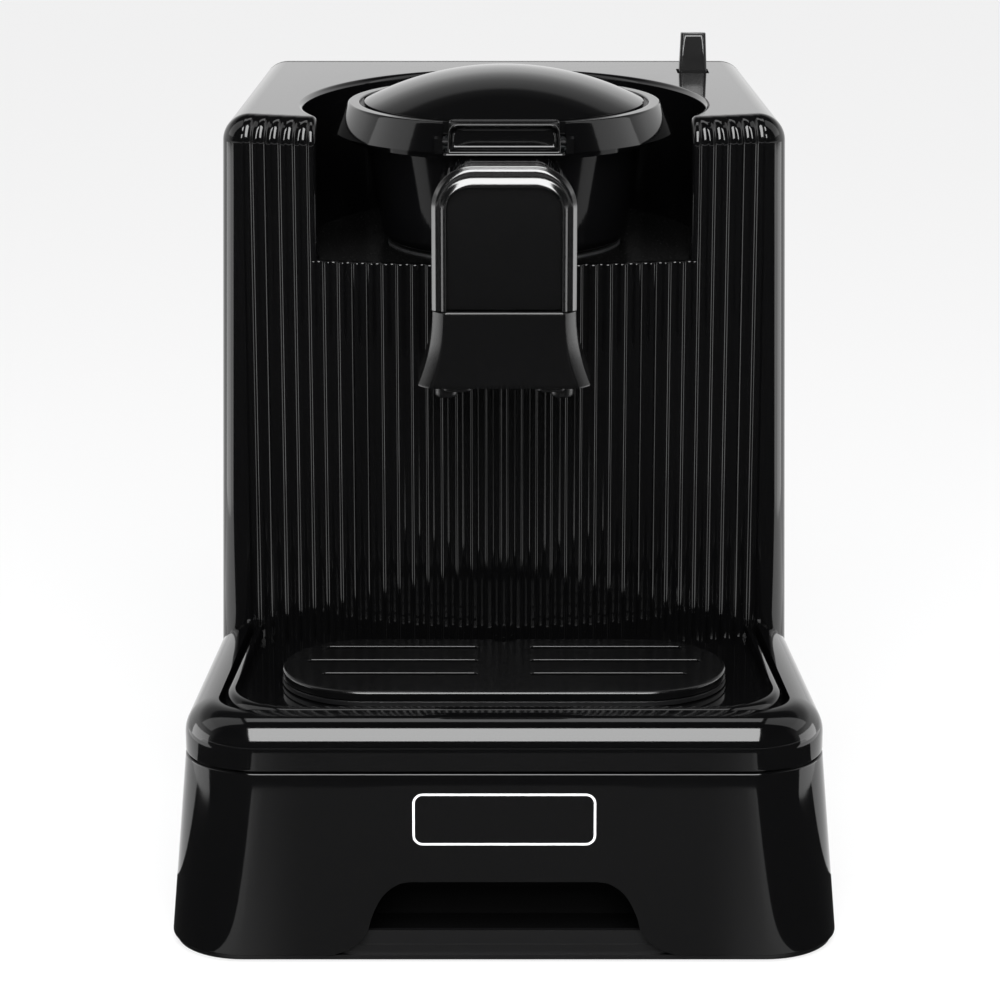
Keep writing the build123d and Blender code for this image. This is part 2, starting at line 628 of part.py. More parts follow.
def deck_face(margin, front_margin, corner_r, grow=0.0):
    """Plan of the deck inside the parting outline, run on straight under the tower front."""
    overrun = 2 * DECK_EDGE_R
    front_y = FRONT_Y + BASE_DRAFT_Y + front_margin
    front_hw, mid_hw = PART_HW - margin, TOWER_HW - margin
    slope = (front_hw - mid_hw) / (TOWER_Y - front_y - corner_r)
    right = [(front_hw + slope * corner_r, front_y),
             (mid_hw - slope * overrun, TOWER_Y + overrun)]
    left = [(-x, y) for x, y in reversed(right)]
    face = Face(Wire.make_polygon([Vector(x, y, 0) for x, y in right + left], close=True))
    face = face.fillet_2d(corner_r, [v for v in face.vertices() if v.Y < front_y + 1])
    return offset(face, grow) if grow else face


def make_deck():
    """Rounded deck rim with a shallow well and the tub that holds the drip tray."""
    well = deck_face(RIM_W, RIM_FRONT, WELL_R)
    outer = prism(deck_face(0, 0, FRONT_R), PART_Z, DECK_TOP)
    outer = fillet(outer.edges().group_by(Axis.Z)[-1], DECK_EDGE_R)
    inner = prism(deck_face(0, 0, FRONT_R, -WALL), PART_Z - 1, DECK_TOP - WALL)
    inner = fillet(inner.edges().group_by(Axis.Z)[-1], DECK_EDGE_R - WALL)
    well_floor = prism(deck_face(RIM_W, RIM_FRONT, WELL_R, WALL), WELL_Z - WALL, DECK_TOP - 1)
    deck = (outer - inner) + (well_floor & outer) - prism(well, WELL_Z, DECK_TOP + 1)
    deck -= block(-FAR, FAR, TOWER_Y - SEAM, FAR, 0, FAR)
    crest = Pos(0, 0, DECK_TOP) * well.outer_wire()
    rim = [e for e in deck.edges().group_by(Axis.Z)[-1]
           if crest.distance_to(e.center()) < 0.01]
    deck = fillet(rim, WELL_EDGE_R) - prism(bow_face(FLUTE_HW, -SEAM, TOWER_Y + 1), 0, FAR)
    tub = Pos(0, PLAT_Y) * stadium(PLAT_L, PLAT_W, TUB_GAP - TRAY_LIP)
    tub_wall = Pos(0, PLAT_Y) * stadium(PLAT_L, PLAT_W, TUB_GAP - TRAY_LIP + TUB_WALL)
    deck += prism(tub_wall, tub_low_z(), WELL_Z)
    return deck - prism(tub, tub_low_z() + TUB_WALL, DECK_TOP)


TRAY_TOP = WELL_Z + SOFT + TRAY_LIP_T


def make_drip_tray():
    """Shallow basin that hangs by its flange in the tub of the deck."""
    rim = Pos(0, PLAT_Y) * stadium(PLAT_L, PLAT_W)
    basin = Pos(0, PLAT_Y) * stadium(PLAT_L, PLAT_W, -TRAY_LIP)
    inside = Pos(0, PLAT_Y) * stadium(PLAT_L, PLAT_W, -TRAY_LIP - TRAY_WALL)
    low = WELL_Z + SOFT - TRAY_DEPTH
    tray = prism(basin, low, TRAY_TOP)
    tray = fillet(tray.edges().group_by(Axis.Z)[0], 5)
    tray += prism(rim, WELL_Z + SOFT, TRAY_TOP)
    hollow = prism(inside, low + TRAY_WALL, TRAY_TOP + 1)
    return tray - fillet(hollow.edges().group_by(Axis.Z)[0], 5 - TRAY_WALL)


def make_cup_platform():
    """Removable cup stand: rounded slab with three split rows of drain slots."""
    top = DECK_TOP + PLAT_RISE
    z0 = TRAY_TOP + SOFT
    slab = Pos(0, PLAT_Y, z0) * extrude(stadium(PLAT_L, PLAT_W), top - z0)
    slab = fillet(slab.edges().group_by(Axis.Z)[-1], 1.2)
    skirt_out = stadium(PLAT_L, PLAT_W, -TRAY_LIP - TRAY_WALL - 0.5)
    skirt_in = stadium(PLAT_L, PLAT_W, -TRAY_LIP - TRAY_WALL - 0.5 - THIN)
    slab += Pos(0, PLAT_Y, z0 - PLAT_SKIRT) * extrude(skirt_out - skirt_in, PLAT_SKIRT)
    cuts = []
    for row, end in zip(SLOT_ROWS, SLOT_OUTS):
        length = end - SLOT_IN
        slot = extrude(SlotOverall(length, SLOT_W), 20, both=True)
        cuts += [Pos(side * (SLOT_IN + length / 2), PLAT_Y + row, z0) * slot for side in (-1, 1)]
    cuts.append(block(-0.3, 0.3, PLAT_Y - PLAT_W, PLAT_Y + PLAT_W, top - 0.6, top + 1))
    cuts.append(Pos(0, PLAT_Y + PLAT_W / 2 + 1.5, top) * Cylinder(4.5, 20))
    return slab - cuts


# =====================================================================================
# pot
# =====================================================================================
POT_Z = HEATER_TOP + SOFT
POT_RIM_Z = POT_Z + POT_H


def turned(points):
    """Solid of revolution about the pot axis from (radius, height) points."""
    outline = Polyline(*[(r, 0, z) for r, z in points], close=True)
    face = make_face(outline)
    return Pos(0, POT_Y, 0) * revolve(face, Axis.Z)


POT_SLOPE = (POT_TOP_R - POT_BOTTOM_R) / POT_H


def pot_radius(z):
    """Outer radius of the pot wall at one height."""
    return POT_BOTTOM_R + POT_SLOPE * (z - POT_Z)


def make_pot_body():
    """Tapered cup with a rounded foot, an outward rim and a bore for the pouring duct."""
    z0, z1 = POT_Z, POT_RIM_Z
    cup = Pos(0, POT_Y, z0) * loft([Circle(POT_BOTTOM_R), Pos(0, 0, POT_H) * Circle(POT_TOP_R)],
                                   ruled=True)
    cup = fillet(cup.edges().group_by(Axis.Z)[0], POT_FOOT_R)
    low_r = pot_radius(z0 + POT_WALL) - POT_WALL
    bowl = Pos(0, POT_Y, z0 + POT_WALL) * loft(
        [Circle(low_r), Pos(0, 0, POT_H) * Circle(low_r + POT_SLOPE * POT_H)], ruled=True)
    bowl = fillet(bowl.edges().group_by(Axis.Z)[0], POT_FOOT_R - POT_WALL)
    pot = (cup + upright_tube(POT_RIM_R, 0, z1 - POT_RIM_T, z1)) - bowl
    return pot - rod(DUCT_R + 0.1, (0, SPOUT_Y1, DUCT_Z), (0, 0, DUCT_Z))


DUCT_Z = POT_RIM_Z - 12.0
SPOUT_TOP = POT_RIM_Z - POT_RIM_T + 2.4
SEAM_Z = POT_RIM_Z - SPOUT_SEAM_DROP
HEAD_LOW_Z = SEAM_Z - HEAD_H
NOZZLE_TIP_Z = HEAD_LOW_Z - NOZZLE_H


def front_arch(half_width, low, top, radius):
    """Front view of a door shape: square foot, round upper corners."""
    face = Pos(0, (low + top) / 2) * Rectangle(2 * half_width, top - low)
    face = fillet([v for v in face.vertices() if v.Y > low + 1], radius)
    return Plane.XZ * face


def between_y(face, y0, y1):
    """Prism of a front-view face from y0 back to y1."""
    return Pos(0, y1, 0) * extrude(face, y1 - y0, dir=(0, -1, 0))


def make_spout_housing():
    """Hollow neck in front of the pot, round-shouldered, with a saddle on the pot wall."""
    outer = between_y(front_arch(SPOUT_HW, SEAM_Z, SPOUT_TOP, SPOUT_TOP_R), SPOUT_Y0 + PANEL_T,
                      SPOUT_Y1)
    inner = between_y(front_arch(SPOUT_HW - SPOUT_WALL, SEAM_Z - 1, SPOUT_TOP - SPOUT_WALL,
                                 SPOUT_TOP_R - SPOUT_WALL),
                      SPOUT_Y0 + PANEL_T + SPOUT_WALL, SPOUT_Y1 - SPOUT_WALL)
    housing = outer - inner
    saddle = between_y(front_arch(SPOUT_HW - 4, DUCT_Z - 14, DUCT_Z + 8, 6), SPOUT_Y1, POT_Y - 30)
    pot_form = Pos(0, POT_Y, POT_Z) * loft(
        [Circle(POT_BOTTOM_R + SEAM), Pos(0, 0, POT_H) * Circle(POT_TOP_R + SEAM)], ruled=True)
    housing += saddle - pot_form
    housing -= upright_tube(POT_RIM_R + SEAM, 0, POT_RIM_Z - POT_RIM_T - SEAM, SPOUT_TOP + 1)
    return housing - rod(DUCT_R + 0.1, (0, SPOUT_Y1 - 8, DUCT_Z), (0, 0, DUCT_Z))


def make_spout_panel():
    """Flat satin panel that closes the front of the spout."""
    return between_y(front_arch(SPOUT_HW - BEAD_R - 1.2, SEAM_Z + SEAM, SPOUT_TOP - BEAD_R - 1.2,
                                SPOUT_TOP_R - BEAD_R), SPOUT_Y0 + 0.4, SPOUT_Y0 + PANEL_T)


def make_spout_trim():
    """Rounded bead round the panel: one tube bent to an upside-down U."""
    hw = HEAD_TOP_HW - BEAD_R
    top = SPOUT_TOP - BEAD_R + 1.4
    r = SPOUT_TOP_R
    y = SPOUT_Y0 - 0.2
    lean = r * (1 - cos(radians(45)))
    path = (Line((-hw, y, SEAM_Z), (-hw, y, top - r))
            + ThreePointArc((-hw, y, top - r), (-hw + lean, y, top - lean), (-hw + r, y, top))
            + Line((-hw + r, y, top), (hw - r, y, top))
            + ThreePointArc((hw - r, y, top), (hw - lean, y, top - lean), (hw, y, top - r))
            + Line((hw, y, top - r), (hw, y, SEAM_Z)))
    tube = sweep(Plane(origin=(-hw, y, SEAM_Z), z_dir=(0, 0, 1)) * Circle(BEAD_R), path)
    clear = between_y(front_arch(SPOUT_HW + SEAM / 2, SEAM_Z - 1, SPOUT_TOP + SEAM / 2, SPOUT_TOP_R),
                      SPOUT_Y0 + PANEL_T, SPOUT_Y1)
    plate = between_y(front_arch(SPOUT_HW - BEAD_R - 1.0, SEAM_Z - 1, SPOUT_TOP - BEAD_R - 1.0,
                                 SPOUT_TOP_R - BEAD_R + 0.2), SPOUT_Y0, SPOUT_Y0 + PANEL_T + 1)
    return tube - clear - plate


def head_form(inset=0.0):
    """Flared head: its sides sweep outwards towards the foot."""
    sections = []
    for share in (0.0, 0.35, 0.7, 1.0):
        flare = share ** 2.2
        half_width = HEAD_TOP_HW + flare * (HEAD_LOW_HW - HEAD_TOP_HW) - inset
        front_y = SPOUT_Y0 - BEAD_R + flare * (HEAD_LOW_Y0 - SPOUT_Y0 + BEAD_R) + inset
        depth = SPOUT_Y1 - inset - front_y
        z = SEAM_Z - SEAM - share * (HEAD_H - SEAM)
        sections.append(Pos(0, front_y + depth / 2, z)
                        * RectangleRounded(2 * half_width, depth, 4.0 - inset / 2))
    return loft(sections)


def make_spout_head():
    """Hollow flared head under the housing, with seats for the two nozzles."""
    head = head_form()
    hollow = head_form(SPOUT_WALL) & block(-FAR, FAR, -FAR, 0, HEAD_LOW_Z + SPOUT_WALL, SEAM_Z + 1)
    head -= hollow
    return head - [rod(NOZZLE_R + 0.1, (x, NOZZLE_Y, HEAD_LOW_Z - 1),
                       (x, NOZZLE_Y, HEAD_LOW_Z + SPOUT_WALL + 1)) for x in (-NOZZLE_X, NOZZLE_X)]


def make_nozzles():
    """Two short pouring nozzles with a small collar inside the head."""
    nozzles = []
    for x in (-NOZZLE_X, NOZZLE_X):
        top = HEAD_LOW_Z + SPOUT_WALL + 2
        tube = rod(NOZZLE_R, (x, NOZZLE_Y, NOZZLE_TIP_Z), (x, NOZZLE_Y, top))
        collar = rod(NOZZLE_R + 1.2, (x, NOZZLE_Y, HEAD_LOW_Z + SPOUT_WALL), (x, NOZZLE_Y, top))
        tube = tube + collar
        tip = tube.edges().group_by(Axis.Z)[0]
        tube = chamfer(tip, 0.8)
        nozzles.append(tube - rod(NOZZLE_BORE_R, (x, NOZZLE_Y, NOZZLE_TIP_Z - 1),
                                  (x, NOZZLE_Y, top + 1)))
    return nozzles


def make_pour_duct():
    """Branched duct: out of the pot, down the neck and across to both nozzles."""
    z_low = HEAD_LOW_Z + SPOUT_WALL + 2
    z_bar = z_low + DUCT_R + 2
    inlet_y = POT_Y - pot_radius(DUCT_Z) + POT_WALL

    def tubes(r, extra):
        tree = rod(r, (0, NOZZLE_Y - extra, DUCT_Z), (0, inlet_y + extra, DUCT_Z))
        tree += rod(r, (0, NOZZLE_Y, z_bar), (0, NOZZLE_Y, DUCT_Z))
        tree += Pos(0, NOZZLE_Y, DUCT_Z) * Sphere(r)
        tree += rod(r, (-NOZZLE_X, NOZZLE_Y, z_bar), (NOZZLE_X, NOZZLE_Y, z_bar))
        for x in (-NOZZLE_X, NOZZLE_X):
            tree += rod(r, (x, NOZZLE_Y, z_low - extra), (x, NOZZLE_Y, z_bar))
            tree += Pos(x, NOZZLE_Y, z_bar) * Sphere(r)
        return tree

    return tubes(DUCT_R, 0) - tubes(DUCT_BORE_R, 0.001) - rod(
        DUCT_BORE_R, (0, inlet_y - 2, DUCT_Z), (0, inlet_y + 1, DUCT_Z))


def make_pot_hinge():
    """Bracket at the back of the pot rim with the two outer hinge knuckles."""
    y, z = POT_Y + HINGE_Y, POT_RIM_Z + HINGE_DROP
    arm_y = POT_Y + POT_RIM_R - 4
    plate = block(-HINGE_HW, HINGE_HW, arm_y, y, POT_RIM_Z - POT_RIM_T - 2.4,
                  POT_RIM_Z - POT_RIM_T - 0.05)
    ears = []
    for side in (-1, 1):
        x0, x1 = sorted((side * (HINGE_HW - 4), side * HINGE_HW))
        ear = block(x0, x1, y - 3, y + 3, POT_RIM_Z - POT_RIM_T - 2.4, z) + rod(
            3.0, (x0, y, z), (x1, y, z))
        ears.append(ear - rod(HINGE_PIN_R, (x0 - 1, y, z), (x1 + 1, y, z)))
    return plate + ears


def make_hinge_pin():
    """Steel pin of the lid hinge, held in the ears of the pot bracket."""
    y, z = POT_Y + HINGE_Y, POT_RIM_Z + HINGE_DROP
    return rod(HINGE_PIN_R, (-HINGE_HW, y, z), (HINGE_HW, y, z))


# =====================================================================================
# lid and latch tab
# =====================================================================================
RING_Z = POT_RIM_Z + SOFT + 0.4
RING_TOP = RING_Z + RING_H


def tab_front_y():
    """Foremost line of the latch tab."""
    return POT_Y - RING_LOW_R - TAB_PROUD


def make_lid_ring():
    """Conical lid ring with a notch for the tab, a groove round the dome and a hinge ear."""
    crease = RING_TOP - 0.8
    wall = 2.4
    ring = turned([
        (RING_LOW_R, RING_Z), (RING_TOP_R, crease), (RING_TOP_R - 0.8, RING_TOP),
        (DOME_R + DOME_GROOVE, RING_TOP), (DOME_R + DOME_GROOVE, RING_TOP - 2.2),
        (DOME_R - 3, RING_TOP - 2.2), (DOME_R - 3, RING_TOP - 4.4),
        (RING_TOP_R - wall, RING_TOP - 4.4), (RING_LOW_R - wall, RING_Z)])
    notch_y = tab_front_y() + TAB_D + TAB_BACK_GAP
    ring -= block(-TAB_HW - SOFT, TAB_HW + SOFT, tab_front_y() - 5, notch_y, RING_Z - 1,
                  RING_TOP + 1)
    pin_y, pin_z = tab_pin_place()
    lug_x = TAB_HW + SOFT
    lug = block(lug_x, lug_x + 3, pin_y - 2.6, notch_y + 3, RING_Z, pin_z + 2.4)
    ring += mirrored(lug) & turned([(0, RING_Z), (RING_LOW_R - 0.4, RING_Z),
                                    (RING_TOP_R - 0.4, crease), (0, crease)])
    ring -= rod(TAB_PIN_R, (-lug_x - 2.4, pin_y, pin_z), (lug_x + 2.4, pin_y, pin_z))
    y, z = POT_Y + HINGE_Y, POT_RIM_Z + HINGE_DROP
    ear_hw = HINGE_HW - 4 - SOFT
    ear = rod(3.0, (-ear_hw, y, z), (ear_hw, y, z)) + block(
        -ear_hw, ear_hw, POT_Y + RING_TOP_R - 2.2, y, z - 1.2, z + 2.6)
    ring += ear
    return ring - rod(HINGE_PIN_R + PIN_CLEAR, (-ear_hw - 1, y, z), (ear_hw + 1, y, z))


def make_lid_dome():
    """Shallow domed cap seated in the ring."""
    r_edge = DOME_R
    z_edge = RING_TOP
    sphere_r = (r_edge ** 2 + DOME_RISE ** 2) / (2 * DOME_RISE)
    centre_z = z_edge + DOME_RISE - sphere_r
    cap = Pos(0, POT_Y, centre_z) * Sphere(sphere_r)
    shell = cap - Pos(0, POT_Y, centre_z) * Sphere(sphere_r - DOME_WALL)
    band = Pos(0, POT_Y, z_edge + DOME_RISE / 2 + 2) * Cylinder(r_edge - 0.2, DOME_RISE + 4)
    dome = shell & band
    foot_low = RING_TOP - 2.2
    foot = Pos(0, POT_Y, (foot_low + z_edge + 1.6) / 2) * (
        Cylinder(r_edge - 0.2, z_edge + 1.6 - foot_low)
        - Cylinder(r_edge - 2.8, z_edge + 1.6 - foot_low))
    trim = Pos(0, POT_Y, centre_z) * Sphere(sphere_r)
    return dome + (foot & trim)


def make_lid_seal():
    """Silicone plug seal under the dome that closes the mouth of the pot."""
    z_top = RING_TOP - 4.4
    low = POT_RIM_Z - 2.5
    inner = SEAL_R - SEAL_T
    flange_r = SEAL_R + 2.4
    return turned([(flange_r, z_top), (flange_r, z_top - 1.6), (SEAL_R, z_top - 1.6),
                   (SEAL_R, low + 1.5), (SEAL_R - 1.5, low), (inner - 1.5, low),
                   (inner - 1.5, low + 1), (inner, low + 2.5), (inner, z_top)])


def tab_pin_place():
    """Axis of the latch tab pin: (y, z)."""
    return tab_front_y() + TAB_PIN_IN, RING_Z + 4.0


def make_latch_tab():
    """Thumb tab with a scooped top that rocks on its pin to free the lid."""
    y0 = tab_front_y()
    low, high = RING_Z + 0.2, RING_Z + 0.2 + TAB_H
    bottom = Pos(0, y0 + TAB_D / 2, low) * RectangleRounded(2 * TAB_HW, TAB_D, 1.5)
    top = Pos(0, y0 + TAB_D / 2 + 0.5, high) * RectangleRounded(2 * TAB_TOP_HW, TAB_D - 1, 1.5)
    tab = loft([bottom, top], ruled=True)
    heel_y = y0 + TAB_D
    heel = Plane.YZ * make_face(Polyline((heel_y + 1, low - 1), (heel_y + 1, low + TAB_HEEL),
                                         (heel_y - TAB_HEEL, low - 1), close=True))
    tab -= extrude(heel, 2 * TAB_HW, both=True)
    tab -= rod(TAB_SCOOP_R, (-TAB_TOP_HW + 3, y0 + 7.5, high + TAB_SCOOP_R - 1.8),
               (TAB_TOP_HW - 3, y0 + 7.5, high + TAB_SCOOP_R - 1.8))
    pin_y, pin_z = tab_pin_place()
    return tab - rod(TAB_PIN_R + PIN_CLEAR, (-40, pin_y, pin_z), (40, pin_y, pin_z))


def make_latch_pin():
    """Pin of the latch tab, held in the two lugs of the lid ring."""
    pin_y, pin_z = tab_pin_place()
    reach = TAB_HW + SOFT + 2.4
    return rod(TAB_PIN_R, (-reach, pin_y, pin_z), (reach, pin_y, pin_z))


# =====================================================================================
# start lever
# =====================================================================================
LEVER_PIN_Z = TOWER_TOP - LEVER_PIN_DROP


def make_start_lever():
    """Rocking lever: a tapering tab through the slot, a hub on the pin and a short tail."""
    hw = LEVER_W / 2
    foot = Pos(LEVER_X, LEVER_Y, TOWER_TOP - 3) * RectangleRounded(LEVER_W, LEVER_D, 1.2)
    neck = Pos(LEVER_X, LEVER_Y, TOWER_TOP + 5) * RectangleRounded(LEVER_W - 0.6, LEVER_D, 1.2)
    crown = Pos(LEVER_X, LEVER_Y, TOWER_TOP + LEVER_UP) * RectangleRounded(
        LEVER_W - 1.4, LEVER_D - 1.4, 1.2)
    tab = loft([foot, neck], ruled=True) + loft([neck, crown], ruled=True)
    hub = rod(4.0, (LEVER_X - hw, LEVER_Y, LEVER_PIN_Z), (LEVER_X + hw, LEVER_Y, LEVER_PIN_Z))
    web = block(LEVER_X - hw, LEVER_X + hw, LEVER_Y - LEVER_D / 2, LEVER_Y + LEVER_D / 2,
                LEVER_PIN_Z, TOWER_TOP - 3)
    tail = block(LEVER_X - hw + 2, LEVER_X + hw - 2, LEVER_Y - 1.6, LEVER_Y + 1.6,
                 LEVER_PIN_Z - LEVER_TAIL, LEVER_PIN_Z)
    lever = tab + hub + web + tail
    return lever - rod(LEVER_PIN_R + PIN_CLEAR, (LEVER_X - 20, LEVER_Y, LEVER_PIN_Z),
                       (LEVER_X + 20, LEVER_Y, LEVER_PIN_Z))


def make_lever_pin():
    """Pin of the start lever, held in the cheeks of its bracket."""
    reach = LEVER_W / 2 + SOFT + THIN
    return rod(LEVER_PIN_R, (LEVER_X - reach, LEVER_Y, LEVER_PIN_Z),
               (LEVER_X + reach, LEVER_Y, LEVER_PIN_Z))


def make_lever_bracket():
    """U-shaped bracket under the tower top that carries the pin and the switch."""
    hw = LEVER_W / 2 + SOFT
    top = TOWER_TOP - WALL
    low = LEVER_PIN_Z - LEVER_TAIL - 12
    cheek = block(LEVER_X + hw, LEVER_X + hw + THIN, LEVER_Y - 7, LEVER_Y + 15, low, top)
    other = block(LEVER_X - hw - THIN, LEVER_X - hw, LEVER_Y - 7, LEVER_Y + 15, low, top)
    floor = block(LEVER_X - hw - THIN, LEVER_X + hw + THIN, LEVER_Y - 7, LEVER_Y + 15, low - THIN,
                  low)
    bracket = cheek + other + floor
    bracket -= rod(LEVER_PIN_R, (LEVER_X - 20, LEVER_Y, LEVER_PIN_Z),
                   (LEVER_X + 20, LEVER_Y, LEVER_PIN_Z))
    return bracket - lever_slot(-0.05)


def make_lever_switch():
    """Microswitch on the bracket floor, its button just behind the tail of the lever."""
    hw = LEVER_W / 2 + SOFT - 0.1
    low = LEVER_PIN_Z - LEVER_TAIL - 12
    y0 = LEVER_Y + 1.6 + (LEVER_TAIL + 1) * sin(radians(LEVER_SWING)) + 0.9
    body = block(LEVER_X - hw, LEVER_X + hw, y0 + 1.2, LEVER_Y + 13, low,
                 LEVER_PIN_Z - LEVER_TAIL + 5)
    button = block(LEVER_X - 1.5, LEVER_X + 1.5, y0, y0 + 1.2, LEVER_PIN_Z - LEVER_TAIL + 1,
                   LEVER_PIN_Z - LEVER_TAIL + 4)
    return body + button


# =====================================================================================
# electronics on the rear cover
# =====================================================================================
BOARD_Y1 = REAR_Y - COVER_T - STANDOFF_H
BOARD_Y0 = BOARD_Y1 - BOARD_T


def on_board(x, z, width, height, depth):
    """Block standing on the front face of the control board."""
    return block(x - width / 2, x + width / 2, BOARD_Y0 - depth, BOARD_Y0, z - height / 2,
                 z + height / 2)


def board_corners():
    """Mounting points of the board."""
    dx, dz = BOARD_W / 2 - 6, BOARD_H / 2 - 6
    return [(sx * dx, BOARD_Z + sz * dz) for sx in (-1, 1) for sz in (-1, 1)]


def make_control_board():
    """Printed circuit board with four mounting holes."""
    board = block(-BOARD_W / 2, BOARD_W / 2, BOARD_Y0, BOARD_Y1, BOARD_Z - BOARD_H / 2,
                  BOARD_Z + BOARD_H / 2)
    return board - [rod(1.7, (x, BOARD_Y0 - 1, z), (x, BOARD_Y1 + 1, z))
                    for x, z in board_corners()]


def make_standoffs():
    """Four spacers between rear cover and board, with pegs through the board."""
    return [rod(3.2, (x, BOARD_Y1, z), (x, REAR_Y - COVER_T, z))
            + rod(1.6, (x, BOARD_Y0 - 1.5, z), (x, BOARD_Y1, z)) for x, z in board_corners()]


def make_transformer():
    """Small supply transformer: laminated core with a wound bobbin."""
    x, z = 26 - BOARD_W / 2, BOARD_Z - 5
    return on_board(x, z, 38, 32, 24) + on_board(x, z, 28, 42, 18)


def make_relay():
    """Heater relay."""
    return on_board(14, BOARD_Z - 24, 28, 12, 15)


def make_capacitors():
    """Two smoothing capacitors standing on the board."""
    return [rod(r, (x, BOARD_Y0 - h, z), (x, BOARD_Y0, z))
            for x, z, r, h in ((2, BOARD_Z + 2, 6, 18), (20, BOARD_Z + 2, 5, 14))]


def make_heat_sink():
    """Finned heat sink with the heater triac clipped to it."""
    x, z = BOARD_W / 2 - 18, BOARD_Z + 14
    fins = [on_board(x + dx, z, 1.6, 40, 16) for dx in (-10, -5, 0, 5, 10)]
    return on_board(x, z, 22, 40, 3) + fins


def make_buzzer():
    """Round buzzer that calls when the coffee is ready."""
    x, z = 22 - BOARD_W / 2, BOARD_Z + 26
    return rod(6.5, (x, BOARD_Y0 - 8, z), (x, BOARD_Y0, z)) - rod(
        1.2, (x, BOARD_Y0 - 9, z), (x, BOARD_Y0 - 5, z))


def make_terminal_block():
    """Screw terminals for the supply and heater leads."""
    z = BOARD_Z - BOARD_H / 2 + TERMINAL_IN
    strip = on_board(0, z, TERMINAL_W, TERMINAL_D - 1, TERMINAL_D)
    return strip - [rod(1.6, (share * TERMINAL_W, BOARD_Y0 - TERMINAL_D - 1, z),
                        (share * TERMINAL_W, BOARD_Y0 - TERMINAL_D / 2, z))
                    for share in (-0.375, -0.125, 0.125, 0.375)]


# =====================================================================================
# write every piece
# =====================================================================================
def whole(pieces):
    """One shape, or several separate solids gathered in one node."""
    if isinstance(pieces, (list, tuple)):
        solids = [s for piece in pieces for s in piece.solids()]
        return Compound(children=solids)
    solids = pieces.solids()
    return solids[0] if len(solids) == 1 else Compound(children=list(solids))


PARTS = {
    "base_shell": make_base_shell,
    "base_plate": make_base_plate,
    "feet": make_feet,
    "base_screws": make_base_screws,
    "grip_pocket": make_grip_pocket,
    "cord_gland": make_gland,
    "deck": make_deck,
    "tower_shell": make_tower_shell,
    "cover_posts": make_cover_bosses,
    "fluted_front": make_fluted_front,
    "pot_shelf": make_shelf,
    "rear_cover": make_rear_cover,
    "rear_screws": lambda: make_screws(cover_screw_places(), REAR_Y),
    "heater_plate": make_heater_plate,
    "heater_element": make_heater_element,
    "heater_clamp": make_heater_clamp,
    "thermostat": make_thermostat,
    "thermal_fuse": make_thermal_fuse,
    "drip_tray": make_drip_tray,
    "cup_platform": make_cup_platform,
    "pot_body": make_pot_body,
    "pot_hinge": make_pot_hinge,
    "lid_hinge_pin": make_hinge_pin,
    "spout_housing": make_spout_housing,
    "spout_panel": make_spout_panel,
    "spout_trim": make_spout_trim,
    "spout_head": make_spout_head,
    "nozzles": make_nozzles,
    "pour_duct": make_pour_duct,
    "lid_ring": make_lid_ring,
    "lid_dome": make_lid_dome,
    "lid_seal": make_lid_seal,
    "latch_tab": make_latch_tab,
    "latch_pin": make_latch_pin,
    "start_lever": make_start_lever,
    "lever_pin": make_lever_pin,
    "lever_bracket": make_lever_bracket,
    "lever_switch": make_lever_switch,
    "control_board": make_control_board,
    "board_standoffs": make_standoffs,
    "transformer": make_transformer,
    "relay": make_relay,
    "capacitors": make_capacitors,
    "heat_sink": make_heat_sink,
    "buzzer": make_buzzer,
    "terminal_block": make_terminal_block,
}

for name, make in PARTS.items():
    export_step(whole(make()), f"parts/{name}.step")
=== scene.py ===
from math import radians, pi
import bpy
import bmesh
import numpy as np
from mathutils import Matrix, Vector, geometry


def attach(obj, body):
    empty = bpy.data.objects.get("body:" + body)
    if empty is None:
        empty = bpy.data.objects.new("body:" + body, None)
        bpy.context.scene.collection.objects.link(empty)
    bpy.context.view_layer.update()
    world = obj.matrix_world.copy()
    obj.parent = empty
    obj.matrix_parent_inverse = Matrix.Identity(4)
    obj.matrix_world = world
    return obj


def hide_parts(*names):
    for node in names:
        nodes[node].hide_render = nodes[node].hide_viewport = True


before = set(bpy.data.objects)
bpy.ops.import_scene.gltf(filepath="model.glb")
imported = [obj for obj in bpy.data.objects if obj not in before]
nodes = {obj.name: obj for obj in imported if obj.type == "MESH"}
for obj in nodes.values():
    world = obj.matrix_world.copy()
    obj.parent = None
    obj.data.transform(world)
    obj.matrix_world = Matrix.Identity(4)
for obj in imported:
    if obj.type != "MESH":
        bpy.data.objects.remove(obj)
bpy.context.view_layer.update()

# ---- studio ----
# A white table-top set: pale floor, a glow behind that fades upwards, a large soft box in
# front, one overhead, and lamps and cards at each side that draw the upright gloss edges.
scene = bpy.context.scene
scene.view_settings.view_transform = "Standard"

camera = bpy.data.objects.new("Camera", bpy.data.cameras.new("Camera"))
camera.data.lens, camera.data.sensor_width = 119.3, 36.0
camera.data.clip_start, camera.data.clip_end = 0.05, 30.0
camera.location = (-0.0015, -1.225, 0.466)
camera.rotation_euler = (radians(90 - 15.2), 0, 0)
scene.collection.objects.link(camera)
scene.camera = camera
COLOUR = {"data_type": "RGBA"}


def feed(tree, node, *by_place, **by_name):
    """Gives a node's inputs, by place or by name with _ for a blank, a value or a link."""
    for key, value in (*enumerate(by_place), *by_name.items()):
        socket = node.inputs[key.replace("_", " ") if isinstance(key, str) else key]
        if isinstance(value, bpy.types.NodeSocket):
            tree.links.new(value, socket)
        else:
            socket.default_value = value
    return node


def add_node(tree, kind, *by_place, props=None, **by_name):
    """New shader node: its properties are set first, then its inputs."""
    node = tree.nodes.new("ShaderNode" + kind)
    for name, value in (props or {}).items():
        setattr(node, name, value)
    return feed(tree, node, *by_place, **by_name)


